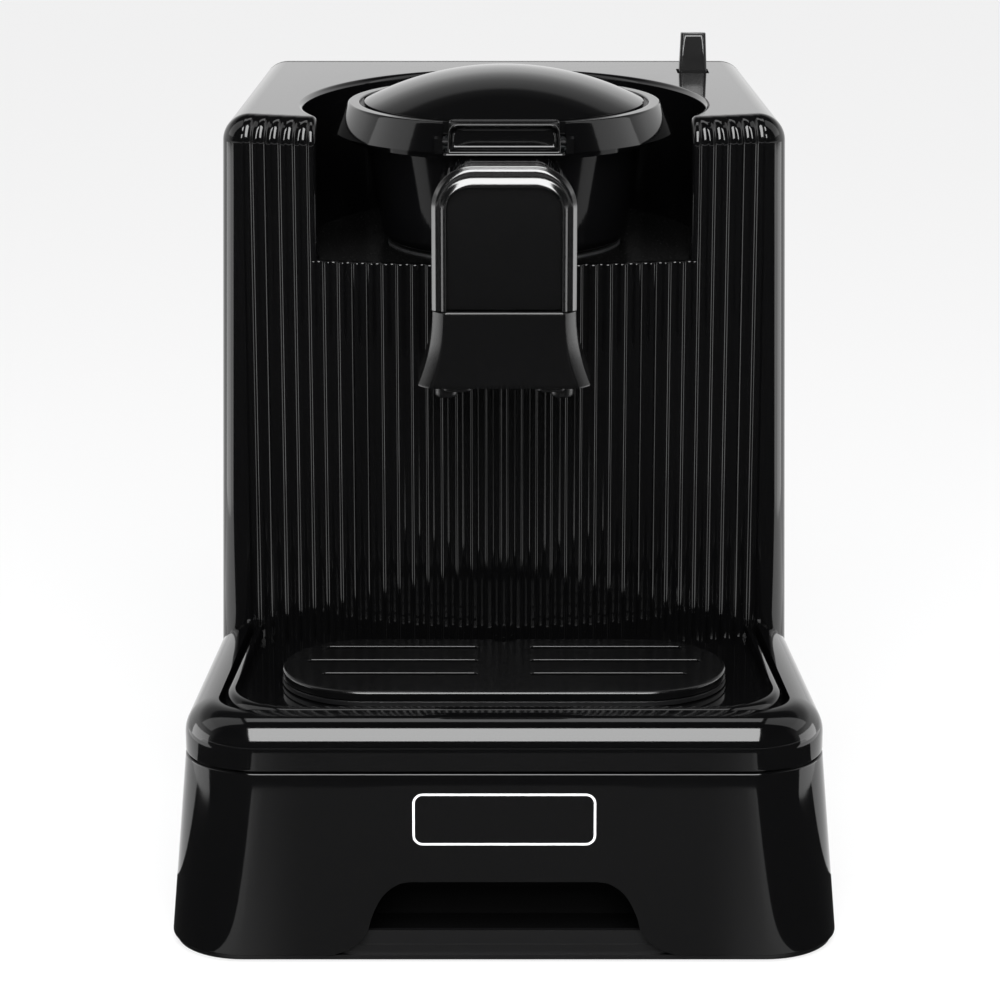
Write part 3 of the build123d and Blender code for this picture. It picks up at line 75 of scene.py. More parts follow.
def new_look(name):
    """Material, its node tree and the shader in it."""
    look = bpy.data.materials.new(name)
    look.use_nodes = True
    return look, look.node_tree, look.node_tree.nodes["Principled BSDF"]


world = bpy.data.worlds.new("Studio")
scene.world = world
world.use_nodes = True
tree = world.node_tree
tree.nodes.clear()
rays = add_node(tree, "LightPath").outputs
axes = add_node(tree, "SeparateXYZ", add_node(tree, "TexCoord").outputs["Generated"]).outputs
behind = add_node(tree, "MapRange", Value=axes["Y"], From_Min=-0.3, From_Max=0.22, To_Min=0.02,
                  To_Max=1.0)
rise = add_node(tree, "ValToRGB", Fac=axes["Z"])
sky = ((0.22, 1.0), (0.31, 0.95), (0.4, 0.62), (0.5, 0.36), (0.61, 0.25), (0.64, 0.06),
       (0.72, 0.02))
for spot, _ in sky[:-2]:
    rise.color_ramp.elements.new(spot)
for element, (spot, grey) in zip(rise.color_ramp.elements, sky):
    element.position, element.color = spot, (grey, grey, grey, 1)
backdrop = add_node(tree, "Math", behind.outputs[0], rise.outputs["Color"],
                    props={"operation": "MULTIPLY"})
gloss_or_glass = add_node(tree, "Math", rays["Is Glossy Ray"], rays["Is Transmission Ray"],
                          props={"operation": "MAXIMUM"})
seen_glow = add_node(tree, "Mix", props=COLOUR, Factor=gloss_or_glass.outputs[0],
                     A=(0.42, 0.42, 0.43, 1), B=backdrop.outputs[0])
camera_white = add_node(tree, "Mix", props=COLOUR, Factor=rays["Is Camera Ray"],
                        A=seen_glow.outputs["Result"], B=(1, 1, 1, 1))
glow = add_node(tree, "Background", camera_white.outputs["Result"])
add_node(tree, "OutputWorld", glow.outputs[0])


def soft_box(name, place, aim, width, height, radiance):
    """Rectangular lamp of a given brightness: power is pi x area x radiance."""
    lamp = bpy.data.lights.new(name, "AREA")
    lamp.shape = "RECTANGLE"
    lamp.size, lamp.size_y = width, height
    lamp.energy = pi * width * height * radiance
    holder = bpy.data.objects.new(name, lamp)
    holder.location = place
    holder.rotation_euler = (Vector(aim) - Vector(place)).to_track_quat("-Z", "Y").to_euler()
    holder.visible_camera = False
    scene.collection.objects.link(holder)


soft_box("crest_box", (0, -0.96, 0.95), (0, -0.125, 0.087), 0.8, 0.98, 10.5)
soft_box("overhead", (0, 0.25, 1.9), (0, 0.1, 0.2), 1.0, 0.5, 2.0)
for side in (-1, 1):
    soft_box("side_box", (side * 0.62, 0.02, 0.1), (0, 0.02, 0.1), 0.42, 0.2, 2.2)
    soft_box("side_wash", (side * 0.62, 0.02, 0.75), (0, 0, 0.28), 0.42, 0.8, 0.9)


def grid_faces(rows, columns, start=0):
    """Four-cornered faces between the points of a grid whose first point has index start."""
    i, j = np.meshgrid(np.arange(rows - 1), np.arange(columns - 1), indexing="ij")
    a = i * columns + j + start
    return np.stack([a, a + 1, a + columns + 1, a + columns], -1).reshape(-1, 4).tolist()


def card_in_front(name, near, far, y_near, y_far, z, low, high, centre=0.0):
    """Card lying on the table, seen by reflections only: half widths near and far from the
    set, its shine rising from low to high over the outer third, low + (high - low) s(t)."""
    t, u = np.meshgrid(np.linspace(-1, 1, 41), np.linspace(0, 1, 9))
    half = near + (far - near) * u
    points = np.stack([centre + half * t, y_near + (y_far - y_near) * u, z + 0 * t], -1)
    ramp = np.clip((np.abs(t) - 0.62) / 0.38, 0, 1)
    shine = low + (high - low) * ramp * ramp * (3 - 2 * ramp)
    mesh = bpy.data.meshes.new(name)
    mesh.from_pydata(points.reshape(-1, 3).tolist(), [], grid_faces(*t.shape))
    mesh.attributes.new("shine", "FLOAT", "POINT").data.foreach_set("value", shine.ravel())
    look, graph, shader = new_look(name)
    graph.nodes.remove(shader)
    read = add_node(graph, "Attribute", props={"attribute_name": "shine"})
    lit = add_node(graph, "Emission", Strength=read.outputs["Fac"])
    feed(graph, graph.nodes["Material Output"], Surface=lit.outputs[0])
    mesh.materials.append(look)
    card = bpy.data.objects.new(name, mesh)
    scene.collection.objects.link(card)
    card.visible_camera = card.visible_shadow = card.visible_diffuse = False


card_in_front("black_card", 2.2, 2.2, -0.05, -2.4, 0.0003, 0.035, 0.035)
card_in_front("grey_card", 0.111, 0.142, -0.1362, -0.42, 0.0006, 0.17, 0.75)
for side in (-1, 1):
    card_in_front("side_card", 0.125, 0.125, -0.19, 0.23, 0.0006, 1.7, 1.7, side * 0.495)

floor_mesh = bpy.data.meshes.new("floor")
floor_mesh.from_pydata([(-6, -4, 0), (6, -4, 0), (6, 8, 0), (-6, 8, 0)], [], [(0, 1, 2, 3)])
floor = bpy.data.objects.new("floor", floor_mesh)
scene.collection.objects.link(floor)
paper, paper_tree, paper_face = new_look("white_paper")
feed(paper_tree, paper_face, Base_Color=(0.93, 0.93, 0.93, 1), Roughness=0.6)
rays = add_node(paper_tree, "LightPath").outputs
plus = {"operation": "ADD"}
seen = add_node(paper_tree, "Math", rays["Is Camera Ray"], rays["Is Glossy Ray"], props=plus)
seen = add_node(paper_tree, "Math", seen.outputs[0], rays["Is Transmission Ray"], props=plus)
share_lit = add_node(paper_tree, "Math", seen.outputs[0], 0.78, props={"operation": "MULTIPLY"})
white = add_node(paper_tree, "Emission")
whiten = add_node(paper_tree, "MixShader", share_lit.outputs[0], paper_face.outputs[0],
                  white.outputs[0])
feed(paper_tree, paper_tree.nodes["Material Output"], Surface=whiten.outputs[0])
floor_mesh.materials.append(paper)

# ---- base skirt ----
# Injection-moulded skirt in gloss black ABS, drafted so that it widens to the table, with
# an arch in its front to get the fingers under.  The deck sits on it at a fine groove.
MM = 0.001
BASE_LOW, PART_Z, DRAFT = 3.0, 70.5, 3.5
FRONT_Y, REAR_Y, COLUMN_Y = -136.0, 136.0, -18.0
FRONT_R, REAR_R, SHELL_WALL = 27.0, 11.0, 2.6
SEAM_FRONT_HW, SEAM_MID_HW, SEAM_REAR_HW = 113.6, 108.6, 102.8
FOOT_FRONT_HW, FOOT_MID_HW, FOOT_REAR_HW = 119.5, 114.4, 108.6


def rounded_plan(corners, radii, steps, run_steps):
    """Plan line through corner points, clockwise seen from above: straight runs, and at each
    corner the arc centre + r (u sin((1-t)w) + v sin(tw)) / sin w between the two tangent
    directions u and v, w apart.  Returns points and outward normals."""
    corners, arcs, points, normals = np.array(corners, float), [], [], []
    for k, (here, r) in enumerate(zip(corners, radii)):
        if r:
            a, b = corners[k - 1] - here, corners[k + 1] - here
            a, b = a / np.linalg.norm(a), b / np.linalg.norm(b)
            half = 0.5 * np.arccos(a @ b)
            centre = here + (a + b) / np.linalg.norm(a + b) * r / np.sin(half)
            u, v = ((here + side * r / np.tan(half) - centre) / r for side in (a, b))
            w, t = np.arccos(u @ v), np.linspace(0, 1, steps)[:, None]
            turn = (np.sin((1 - t) * w) * u + np.sin(t * w) * v) / np.sin(w)
            arcs.append((centre + r * turn, turn))
        else:
            arcs.append((here[None], None))
    runs = [after[0][0] - before[0][-1] for before, after in zip(arcs, arcs[1:])]
    outward = [np.array([-y, x]) / np.hypot(x, y) for x, y in runs]
    t = np.linspace(0, 1, run_steps + 2)[1:-1, None]
    for k, (arc, turn) in enumerate(arcs):
        points.append(arc)
        normals.append(sum(outward[max(k - 1, 0):k + 1])[None] if turn is None else turn)
        if k < len(runs):
            points.append(arc[-1] + runs[k] * t)
            normals.append(np.tile(outward[k], (run_steps, 1)))
    normals = np.concatenate(normals)
    return np.concatenate(points), normals / np.linalg.norm(normals, axis=1)[:, None]


def raised(plan, z):
    """Plan points at a height, which is one number or one for each point."""
    plan = np.asarray(plan, float)
    return np.concatenate([plan, np.broadcast_to(z, len(plan))[:, None]], 1)


def joined(mesh, reach):
    """Working copy of a mesh with its doubles within reach merged and no face left flat."""
    work = bmesh.new()
    work.from_mesh(mesh)
    bmesh.ops.remove_doubles(work, verts=work.verts, dist=reach)
    bmesh.ops.dissolve_degenerate(work, edges=work.edges, dist=reach / 2)
    return work


def finished(name, mesh, work, finish, body, stands_for, sharp, wall=0.0):
    """Puts the worked mesh on the body: smooth except at edges over the sharp angle, with its
    finish, and in place of the nodes that it stands for."""
    work.to_mesh(mesh)
    work.free()
    mesh.polygons.foreach_set("use_smooth", np.ones(len(mesh.polygons), bool))
    mesh.set_sharp_from_angle(angle=radians(sharp))
    mesh.materials.clear()
    mesh.materials.append(finish)
    piece = bpy.data.objects.new(name, mesh)
    scene.collection.objects.link(piece)
    if wall:
        thick = piece.modifiers.new("wall", "SOLIDIFY")
        thick.thickness, thick.offset = wall * MM, -1
    even = piece.modifiers.new("even_normals", "WEIGHTED_NORMAL")
    even.keep_sharp = True
    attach(piece, body)
    if stands_for:
        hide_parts(*stands_for)
    return piece


def moulding(name, patches, finish, body, stands_for=(), wall=0.0, sharp=38):
    """One mesh, in millimetres, from grids, which are rows of points, and (points, faces)
    pairs whose edges meet.  A wall thickens the surface inwards by an even offset along its
    normals."""
    verts, faces, at = [], [], 0
    for patch in patches:
        if isinstance(patch, tuple):
            verts.append(patch[0])
            faces += [[i + at for i in face] for face in patch[1]]
        else:
            patch = np.asarray(patch)
            faces += grid_faces(*patch.shape[:2], at)
            verts.append(patch.reshape(-1, 3))
        at += len(verts[-1])
    mesh = bpy.data.meshes.new(name)
    mesh.from_pydata((np.concatenate(verts) * MM).tolist(), [], faces)
    work = joined(mesh, 0.004 * MM)
    bmesh.ops.recalc_face_normals(work, faces=work.faces)
    return finished(name, mesh, work, finish, body, stands_for, sharp, wall)


def gloss_plastic(name, colour, roughness, drift_by=0.03, ripple=0.012, ior=1.5, level=0.5):
    """Polished moulding: roughness = base + a slow noise, colour drifts with the same noise,
    and a very fine noise ripple bends the reflections as a tool's polish does."""
    look, graph, shader = new_look(name)
    place = add_node(graph, "TexCoord").outputs["Object"]
    drift = add_node(graph, "TexNoise", Vector=place, Scale=14.0, Detail=3.0).outputs["Fac"]
    span = add_node(graph, "MapRange", Value=drift, From_Min=0.3, From_Max=0.7,
                    To_Min=roughness, To_Max=roughness + drift_by)
    tone = add_node(graph, "Mix", props=COLOUR, Factor=drift, A=(*colour, 1),
                    B=(*[c * 1.35 + 0.0003 for c in colour], 1))
    fine = add_node(graph, "TexNoise", Vector=place, Scale=160.0, Detail=2.0)
    bump = add_node(graph, "Bump", Height=fine.outputs["Fac"], Strength=ripple, Distance=0.0004)
    feed(graph, shader, Base_Color=tone.outputs["Result"], Roughness=span.outputs[0],
         Normal=bump.outputs[0], IOR=ior, Specular_IOR_Level=level)
    return look


piano_black = gloss_plastic("piano_black", (0.0014, 0.0014, 0.0015), 0.05)
ARCH_START = 66.0
arch_stations = np.concatenate([np.linspace(ARCH_START, 61, 4), np.linspace(60.6, 31, 75),
                                np.linspace(29, 0, 6)])


def mirrored(half):
    """Plan line on one side, then its mirror image back to where it began."""
    return np.concatenate([half, half[-2::-1] * (-1, 1)])


def body_plan(front_hw, front_y, mid_hw, rear_hw):
    """Closed outline of the base at one height, from the middle of the back and round."""
    slope = (front_hw - mid_hw) / (COLUMN_Y - front_y - FRONT_R)
    corner = (front_hw + slope * FRONT_R, front_y)
    half, out = rounded_plan([(0, REAR_Y), (rear_hw, REAR_Y), (mid_hw, COLUMN_Y), corner,
                              (ARCH_START, front_y)], (0, REAR_R, 0, FRONT_R, 0), 17, 6)
    front = np.stack([arch_stations[1:], np.full(len(arch_stations) - 1, front_y)], 1)
    half = np.concatenate([half, front])
    out = np.concatenate([out, np.tile([0.0, -1.0], (len(front), 1))])
    return mirrored(half), mirrored(out)


foot_line, foot_out = body_plan(FOOT_FRONT_HW, FRONT_Y, FOOT_MID_HW, FOOT_REAR_HW)
seam_line, _ = body_plan(SEAM_FRONT_HW, FRONT_Y + DRAFT, SEAM_MID_HW, SEAM_REAR_HW)


def smooth_curve(knots, steps):
    """Catmull-Rom curve: each span is the cubic through its two knots whose end slopes are
    half the step between the knots on either side."""
    knots = np.array(knots, float)
    ends = np.concatenate([2 * knots[:1] - knots[1:2], knots, 2 * knots[-1:] - knots[-2:-1]])
    t = np.linspace(0, 1, steps, endpoint=False)[None, :, None]
    p0, p1, p2, p3 = (ends[i:len(ends) - 3 + i, None] for i in range(4))
    curve = 0.5 * (2 * p1 + (p2 - p0) * t + (2 * p0 - 5 * p1 + 4 * p2 - p3) * t ** 2
                   + (3 * p1 - p0 - 3 * p2 + p3) * t ** 3)
    return np.concatenate([curve.reshape(-1, knots.shape[1]), knots[-1:]])


arch_edge = smooth_curve([(33, 30.1), (37, 29.3), (41, 26.7), (43.8, 23.35), (46.4, 18.0),
                          (48, 12.4), (49.8, 9.1), (52.3, 6.8), (56, 4.6), (60.6, BASE_LOW)], 8)
reach = np.abs(foot_line[:, 0])
arch = np.interp(reach, arch_edge[:, 0], arch_edge[:, 1])
arch = np.where(foot_line[:, 1] < FRONT_Y + 0.01, arch, BASE_LOW)


def skirt_row(z, inset=0.0):
    """Skirt at one height per column: foot line and seam line mixed by height, then moved
    inwards along the plan normal."""
    share = ((np.broadcast_to(z, len(foot_line)) - BASE_LOW) / (PART_Z - BASE_LOW))[:, None]
    return raised(foot_line + (seam_line - foot_line) * share - foot_out * inset, z)


TOP = PART_Z - 0.5
skirt_profile = [skirt_row(TOP, SHELL_WALL), skirt_row(TOP, 1.0), skirt_row(TOP - 0.06, 0.55),
                 skirt_row(TOP - 0.25, 0.25), skirt_row(TOP - 0.6)]
for share in np.linspace(0, 1, 9)[1:]:
    skirt_profile.append(skirt_row(TOP - 0.6 + (arch + 0.7 - TOP + 0.6) * share))
skirt_profile += [skirt_row(arch + 0.28, 0.1), skirt_row(arch + 0.08, 0.32),
                  skirt_row(arch, 0.7), skirt_row(arch, SHELL_WALL),
                  skirt_row(TOP, SHELL_WALL)]
moulding("base_skirt", [skirt_profile], piano_black, "housing",
         ["base_shell"])

# ---- front frame line ----
# A thin pale line printed on the base front as a rounded frame round a bare field.  It is
# pad-printed ink, a few hundredths of a millimetre thick, on the drafted face.
printed = gloss_plastic("printed_line", (0.72, 0.73, 0.74), 0.3, 0.1)


def rounded_frame(half_width, low, high, radius, steps=9):
    """Closed front-view loop: four quarter circles joined by straight sides."""
    angle = np.linspace(0, pi / 2, steps)
    quarter = np.stack([np.cos(angle), np.sin(angle)], 1) * radius
    turns = [(1, 1), (-1, 1), (-1, -1), (1, -1)]
    loop = [((quarter if sx * sz > 0 else quarter[::-1]) * (sx, sz)
             + (sx * (half_width - radius), (high if sz > 0 else low) - sz * radius))
            for sx, sz in turns]
    loop.append(loop[0][:1])
    return np.concatenate(loop)


def on_front(loop, proud):
    """Front-view loop laid on the leaning front face, proud of it by a hair."""
    y = FRONT_Y + DRAFT * (loop[:, 1] - BASE_LOW) / (PART_Z - BASE_LOW) - proud
    return np.stack([loop[:, 0], y, loop[:, 1]], 1)


outer_loop, inner_loop = rounded_frame(32.2, 43.9, 62.8, 3.6), rounded_frame(31.4, 44.7, 62.0, 2.8)
line_rows = [on_front(loop, proud) for loop, proud in (
    (outer_loop, -0.05), (outer_loop, 0.05), (inner_loop, 0.05), (inner_loop, -0.05))]
moulding("frame_line", [line_rows], printed, "housing")

# ---- deck ----
# Rounded rim in the same gloss black ABS, closing the base from above.  It is one moulding
# with the shallow well and, in the well's floor, the tub that the drip tray hangs in.
DECK_TOP, WELL_Z, PLAT_Y = 89.3, 84.3, -71.5
TUB_LENGTH, TUB_WIDTH, TUB_LOW = 157.0, 58.0, 62.1
RIM_R, WELL_R = 12.0, 4.0


def deck_line(side_margin, front_margin, corner_r, end_y=COLUMN_Y):
    """Open outline of the deck from the tower round the front and back to the tower."""
    front_y = FRONT_Y + DRAFT + front_margin
    front_hw, mid_hw = SEAM_FRONT_HW - side_margin, SEAM_MID_HW - side_margin
    slope = (front_hw - mid_hw) / (COLUMN_Y - front_y - corner_r)
    start = (mid_hw - slope * (end_y - COLUMN_Y), end_y)
    half, out = rounded_plan([start, (front_hw + slope * corner_r, front_y), (0, front_y)],
                             (0, corner_r, 0), 21, 14)
    return mirrored(half), mirrored(out)


def stadium_line(length, width, steps=25):
    """Closed outline of a slab with half-round ends, about the middle of the platform."""
    angle = np.linspace(-pi / 2, pi / 2, steps)
    r, half = width / 2, (length - width) / 2
    right = np.stack([half + r * np.cos(angle), r * np.sin(angle)], 1)
    return np.concatenate([right, -right])


def closed(loop, z):
    """Closed loop as one grid row that ends where it starts."""
    return raised(np.concatenate([loop, loop[:1]]), z)


def sheet_with_holes(outer, holes, z):
    """Level face between a closed outer loop and closed inner loops: constrained Delaunay
    triangles, kept where a ray from their middle crosses the loops an odd number of times."""
    loops = [np.asarray(loop, float) for loop in (outer, *holes)]
    starts = np.cumsum([0] + [len(loop) for loop in loops])
    rings = [list(range(a, b)) for a, b in zip(starts[:-1], starts[1:])]
    found = geometry.delaunay_2d_cdt([Vector(p) for p in np.concatenate(loops)], [], rings, 0, 1e-5)
    flat = np.array([tuple(p) for p in found[0]])
    triangles = np.array(found[2])
    cx, cy = np.moveaxis(flat[triangles].mean(1), 1, 0)[:, :, None]
    ax, ay = np.concatenate(loops).T
    bx, by = np.concatenate([np.roll(loop, -1, 0) for loop in loops]).T
    rise = np.where(by == ay, 1.0, by - ay)
    crossed = ((ay > cy) != (by > cy)) & (cx < ax + (bx - ax) * (cy - ay) / rise)
    return raised(flat, z), triangles[crossed.sum(1) % 2 == 1].tolist()


def cap(row):
    """Level face that fills a closed grid row."""
    return sheet_with_holes(row[:-1, :2], [], row[0, 2])


deck_out, deck_normal = deck_line(0, 0, FRONT_R)
well_line, well_normal = deck_line(17.0, 16.5, 22.0, COLUMN_Y - 0.3)
tub_loop = stadium_line(TUB_LENGTH, TUB_WIDTH) + (0, PLAT_Y)
turn = np.linspace(0, pi / 2, 17)
LIP = PART_Z + 0.1
deck_rows = [raised(deck_out - deck_normal * d, z) for d, z in
             ((SHELL_WALL, LIP), (0.9, LIP), (0.4, LIP + 0.1), (0.12, LIP + 0.35),
              (0, LIP + 0.8), (0, LIP + 3.5))]
deck_rows += [raised(deck_out - deck_normal * RIM_R * (1 - np.cos(a)),
                     DECK_TOP - RIM_R + RIM_R * np.sin(a)) for a in turn]
deck_rows += [raised(well_line + well_normal * WELL_R * np.sin(a),
                     DECK_TOP - WELL_R + WELL_R * np.cos(a)) for a in turn[::-2]]
deck_rows.append(raised(well_line, WELL_Z))
tub_rows = [closed(tub_loop, WELL_Z), closed(tub_loop, TUB_LOW)]
moulding("deck_rim", [deck_rows, sheet_with_holes(well_line, [tub_loop], WELL_Z), tub_rows,
                      cap(tub_rows[-1])],
         piano_black, "housing", ["deck"], wall=2.0)

# ---- drip tray ----
# Thin satin black basin that hangs by its flange in the tub of the deck and lifts out.  One
# moulding; its foot is rounded inside and out so that it rinses clean.
TRAY_LOW, TRAY_FLOOR, TRAY_TOP = 62.6, 64.4, 86.6
FOOT_INSET, FOOT_R, FLOOR_R = 8.0, 5.0, 3.2
SLAB_LENGTH, SLAB_WIDTH = 162.0, 63.0


def grained_plastic(name, colour, roughness, grain=0.06, scale=900.0, metal=0.0, level=0.5):
    """Satin surface: fine noise as the grain of the tool in bump and roughness, and a slow
    noise that shifts the colour by up to 15 percent each way."""
    look, graph, shader = new_look(name)
    place = add_node(graph, "TexCoord").outputs["Object"]
    grains = add_node(graph, "TexNoise", Vector=place, Scale=scale, Detail=2.0).outputs["Fac"]
    slow = add_node(graph, "TexNoise", Vector=place, Scale=22.0, Detail=4.0)
    span = add_node(graph, "MapRange", Value=grains, From_Min=0.25, From_Max=0.75,
                    To_Min=max(0.02, roughness - 0.05), To_Max=roughness + 0.07)
    tone = add_node(graph, "Mix", props=COLOUR, Factor=slow.outputs["Fac"],
                    A=(*[c * 0.85 for c in colour], 1),
                    B=(*[min(1.0, c * 1.15 + 0.0004) for c in colour], 1))
    bump = add_node(graph, "Bump", Height=grains, Strength=grain, Distance=0.0003)
    feed(graph, shader, Base_Color=tone.outputs["Result"], Roughness=span.outputs[0],
         Normal=bump.outputs[0], Metallic=metal, Specular_IOR_Level=level)
    return look


satin_black = grained_plastic("satin_black", (0.004, 0.004, 0.0043), 0.34)


def slab_row(grow, z, steps=25):
    """Closed stadium of the platform's size, grown by grow, at one height."""
    loop = stadium_line(SLAB_LENGTH + 2 * grow, SLAB_WIDTH + 2 * grow, steps)
    return closed(loop + (0, PLAT_Y), z)


foot = np.linspace(0, pi / 2, 8)
tray_rows = [slab_row(FOOT_R * np.sin(a) - FOOT_INSET, TRAY_LOW + FOOT_R * (1 - np.cos(a)))
             for a in foot]
tray_rows += [slab_row(grow, z) for grow, z in (
    (-3.0, WELL_Z), (-3.0, 84.6), (-0.3, 84.6), (0, 84.9), (0, 86.2), (-0.12, 86.48),
    (-0.4, TRAY_TOP), (-4.4, TRAY_TOP), (-4.7, 86.5), (-4.8, 86.2))]
tray_rows += [slab_row(FLOOR_R * np.cos(a) - FOOT_INSET, TRAY_FLOOR + FLOOR_R * (1 - np.sin(a)))
              for a in foot]
moulding("tray", [tray_rows, cap(tray_rows[0]), cap(tray_rows[-1])], satin_black, "tray",
         ["drip_tray"])

# ---- cup platform ----
# Removable stand for two cups over the tray: a satin slab with soft edges, a thumb notch
# at the back, a centre seam and three split rows of drain slots.
PLAT_LOW, PLAT_TOP, SLOT_IN, SLOT_EDGE = 86.9, 90.3, 9.5, 0.35
SKIRT_OUT, SKIRT_IN, SKIRT_LOW, PLAT_SOFT = -5.3, -7.3, 82.9, 1.2
NOTCH_R, NOTCH_Y, SEAM_DEEP = 4.5, -38.5, 0.6
stand_satin = grained_plastic("stand_satin", (0.002, 0.002, 0.0021), 0.16, 0.01)


def platform_loop(grow, steps=27):
    """Stadium with the thumb notch: right end, rear edge with a circular bite, left end."""
    end = np.linspace(-pi / 2, pi / 2, steps)
    r, half = SLAB_WIDTH / 2 + grow, (SLAB_LENGTH - SLAB_WIDTH) / 2
    edge = PLAT_Y + r
    bite_r = NOTCH_R - grow
    start = np.arctan2(edge - NOTCH_Y, np.sqrt(bite_r ** 2 - (edge - NOTCH_Y) ** 2))
    bite = np.linspace(start, -pi - start, 17)
    right = np.stack([half + r * np.cos(end), PLAT_Y + r * np.sin(end)], 1)
    notch = np.stack([bite_r * np.cos(bite), NOTCH_Y + bite_r * np.sin(bite)], 1)
    return np.concatenate([right, notch, (right * (-1, 1))[::-1]])


def slot_line(x_mid, y_mid, length, width, grow):
    """Closed outline of one drain slot."""
    return stadium_line(length + 2 * grow, width + 2 * grow, 9) + (x_mid, y_mid)


round_over = np.linspace(0, pi / 2, 6)
slab_rows = [closed(platform_loop(grow), z) for grow, z in (
    (SKIRT_OUT, PLAT_LOW), (-0.25, PLAT_LOW), (0, PLAT_LOW + 0.25))]
slab_rows += [closed(platform_loop(PLAT_SOFT * (np.cos(a) - 1)),
                     PLAT_TOP + PLAT_SOFT * (np.sin(a) - 1)) for a in round_over]
skirt = [slab_row(grow, z, 27) for grow, z in (
    (SKIRT_OUT, PLAT_LOW), (SKIRT_OUT, SKIRT_LOW), (SKIRT_IN, SKIRT_LOW), (SKIRT_IN, PLAT_LOW))]
stand, upper_holes, lower_holes = [slab_rows, skirt], [], []
for row_y, out_x in ((20.5, 66.0), (4.5, 72.0), (-11.0, 66.0)):
    for side in (-1, 1):
        place = (side * (SLOT_IN + out_x) / 2, PLAT_Y + row_y, out_x - SLOT_IN, 3.2)
        stand.append([closed(slot_line(*place, SLOT_EDGE * (1 - np.sin(a))),
                             PLAT_TOP + SLOT_EDGE * (np.cos(a) - 1)) for a in round_over]
                     + [closed(slot_line(*place, 0), PLAT_LOW)])
        upper_holes.append(slot_line(*place, SLOT_EDGE))
        lower_holes.append(slot_line(*place, 0))
seam = np.array([(-0.3, -101.7), (0.3, -101.7), (0.3, -44.3), (-0.3, -44.3)])
stand += [[closed(seam, PLAT_TOP), closed(seam, PLAT_TOP - SEAM_DEEP)],
          sheet_with_holes(seam, [], PLAT_TOP - SEAM_DEEP),
          sheet_with_holes(platform_loop(-PLAT_SOFT), upper_holes + [seam], PLAT_TOP),
          sheet_with_holes(skirt[-1][:-1, :2], lower_holes, PLAT_LOW)]
moulding("cup_stand", stand, stand_satin, "platform", ["cup_platform"])

# ---- tower and fluted front ----
# Tall gloss black moulding: two plain columns and, between them, a bowed field of concave
# flutes that run out over the rounded top edge.  The pot cavity is sunk into its top.
BOW_R, BOW_Y, FLUTED_HW = 301.9516, 268.4516, 95.5
FLUTE_PITCH, FLUTE_R, FLUTE_SOFT, RUN_OUT_R, RUN_OUT_IN = 5.48, 2.1, 0.12, 12.6, 1.7
LAST_FLUTE = 17.5 * FLUTE_PITCH
EDGE_R, TOWER_TOP, SHELF_Z, BEND_Z = 10.0, 283.3, 231.1, 273.3
COLUMN_AXIS, CORNER_Y, BACK_Y, SIDE_RUN = 98.214, -8.0, 131.7, 139.32
CHEEK_X, MOUTH_R, BRIM_R, FRONT_WALL = 68.7, 2.0, 2.0, 3.4
POT_Y, CAVITY_R, CAVITY_REAR, BLEND_R, BLEND_Y = 16.5, 75.3, 92.5, 9.0, -16.2
LEVER_X, LEVER_Y, SLOT_LOW = 75.8, 104.5, 278.1
BOW_END = BOW_R * np.arcsin(FLUTED_HW / BOW_R)
LEAN, NARROW = 4.6 / 212.8, 5.8 / 154.0
side_out = np.array([1.0, NARROW, LEAN]) / np.linalg.norm([1.0, NARROW, LEAN])
UP = np.array([0.0, 0.0, 1.0])


def cove_depth(s, phi):
    """Depth of the flutes at arc length s along the bow: a circle of radius r centred e in
    front of the crests every pitch, q = sqrt(r^2 - ds^2) - e, softened by m as
    (q + sqrt(q^2 + 4 m^2)) / 2.  Over the top edge the centre leaves on a wider arc."""
    near = (s / FLUTE_PITCH + 0.5) - np.round(s / FLUTE_PITCH + 0.5)
    near = np.where(np.abs(s) > LAST_FLUTE, (np.abs(s) - LAST_FLUTE) / FLUTE_PITCH, near)
    e = np.hypot(RUN_OUT_R * np.cos(phi) - RUN_OUT_IN, RUN_OUT_R * np.sin(phi)) - EDGE_R
    q = np.sqrt(np.maximum(FLUTE_R ** 2 - (near * FLUTE_PITCH) ** 2, 0)) - e
    return 0.5 * (q + np.sqrt(q ** 2 + 4 * FLUTE_SOFT ** 2))


def smooth_step(t):
    """3 t^2 - 2 t^3 between 0 and 1."""
    t = np.clip(t, 0, 1)
    return t * t * (3 - 2 * t)


def slerp(a, b, w):
    """Great-circle mix of unit vectors."""
    angle = np.arccos(np.clip((a * b).sum(-1, keepdims=True), -1, 1))
    return (np.sin((1 - w) * angle) * a + np.sin(w * angle) * b) / np.sin(angle)


def bow_stations(s):
    """Centre line of the edge rounding and outward direction at arc length s of the bow."""
    out = np.stack([np.sin(s / BOW_R), -np.cos(s / BOW_R), 0 * s], -1)
    centre = np.array([0, BOW_Y, 0]) + out * (BOW_R - EDGE_R)
    return centre, out


def cheek_edge(phi):
    """Arc length at which the rounding of the cavity's mouth starts."""
    across = BOW_R - EDGE_R + (EDGE_R - MOUTH_R) * np.cos(phi)
    return BOW_R * np.arcsin((CHEEK_X + MOUTH_R) / across)


def bow_row(s, z, phi=0.0, inset=0.0, edge=None):
    """Fluted surface along the bow at one height, or at angle phi over the top edge."""
    fade = 1.0 if edge is None else smooth_step((s - edge) / 0.8)
    centre, out = bow_stations(s)
    depth = (cove_depth(s, phi) * fade + inset)[:, None]
    direction = np.cos(phi) * out + np.sin(phi) * UP
    return centre + (0, 0, z) + direction * (EDGE_R - depth)


column_t, side_t = np.linspace(0, 1, 25), np.linspace(0, 1, 22)[1:]


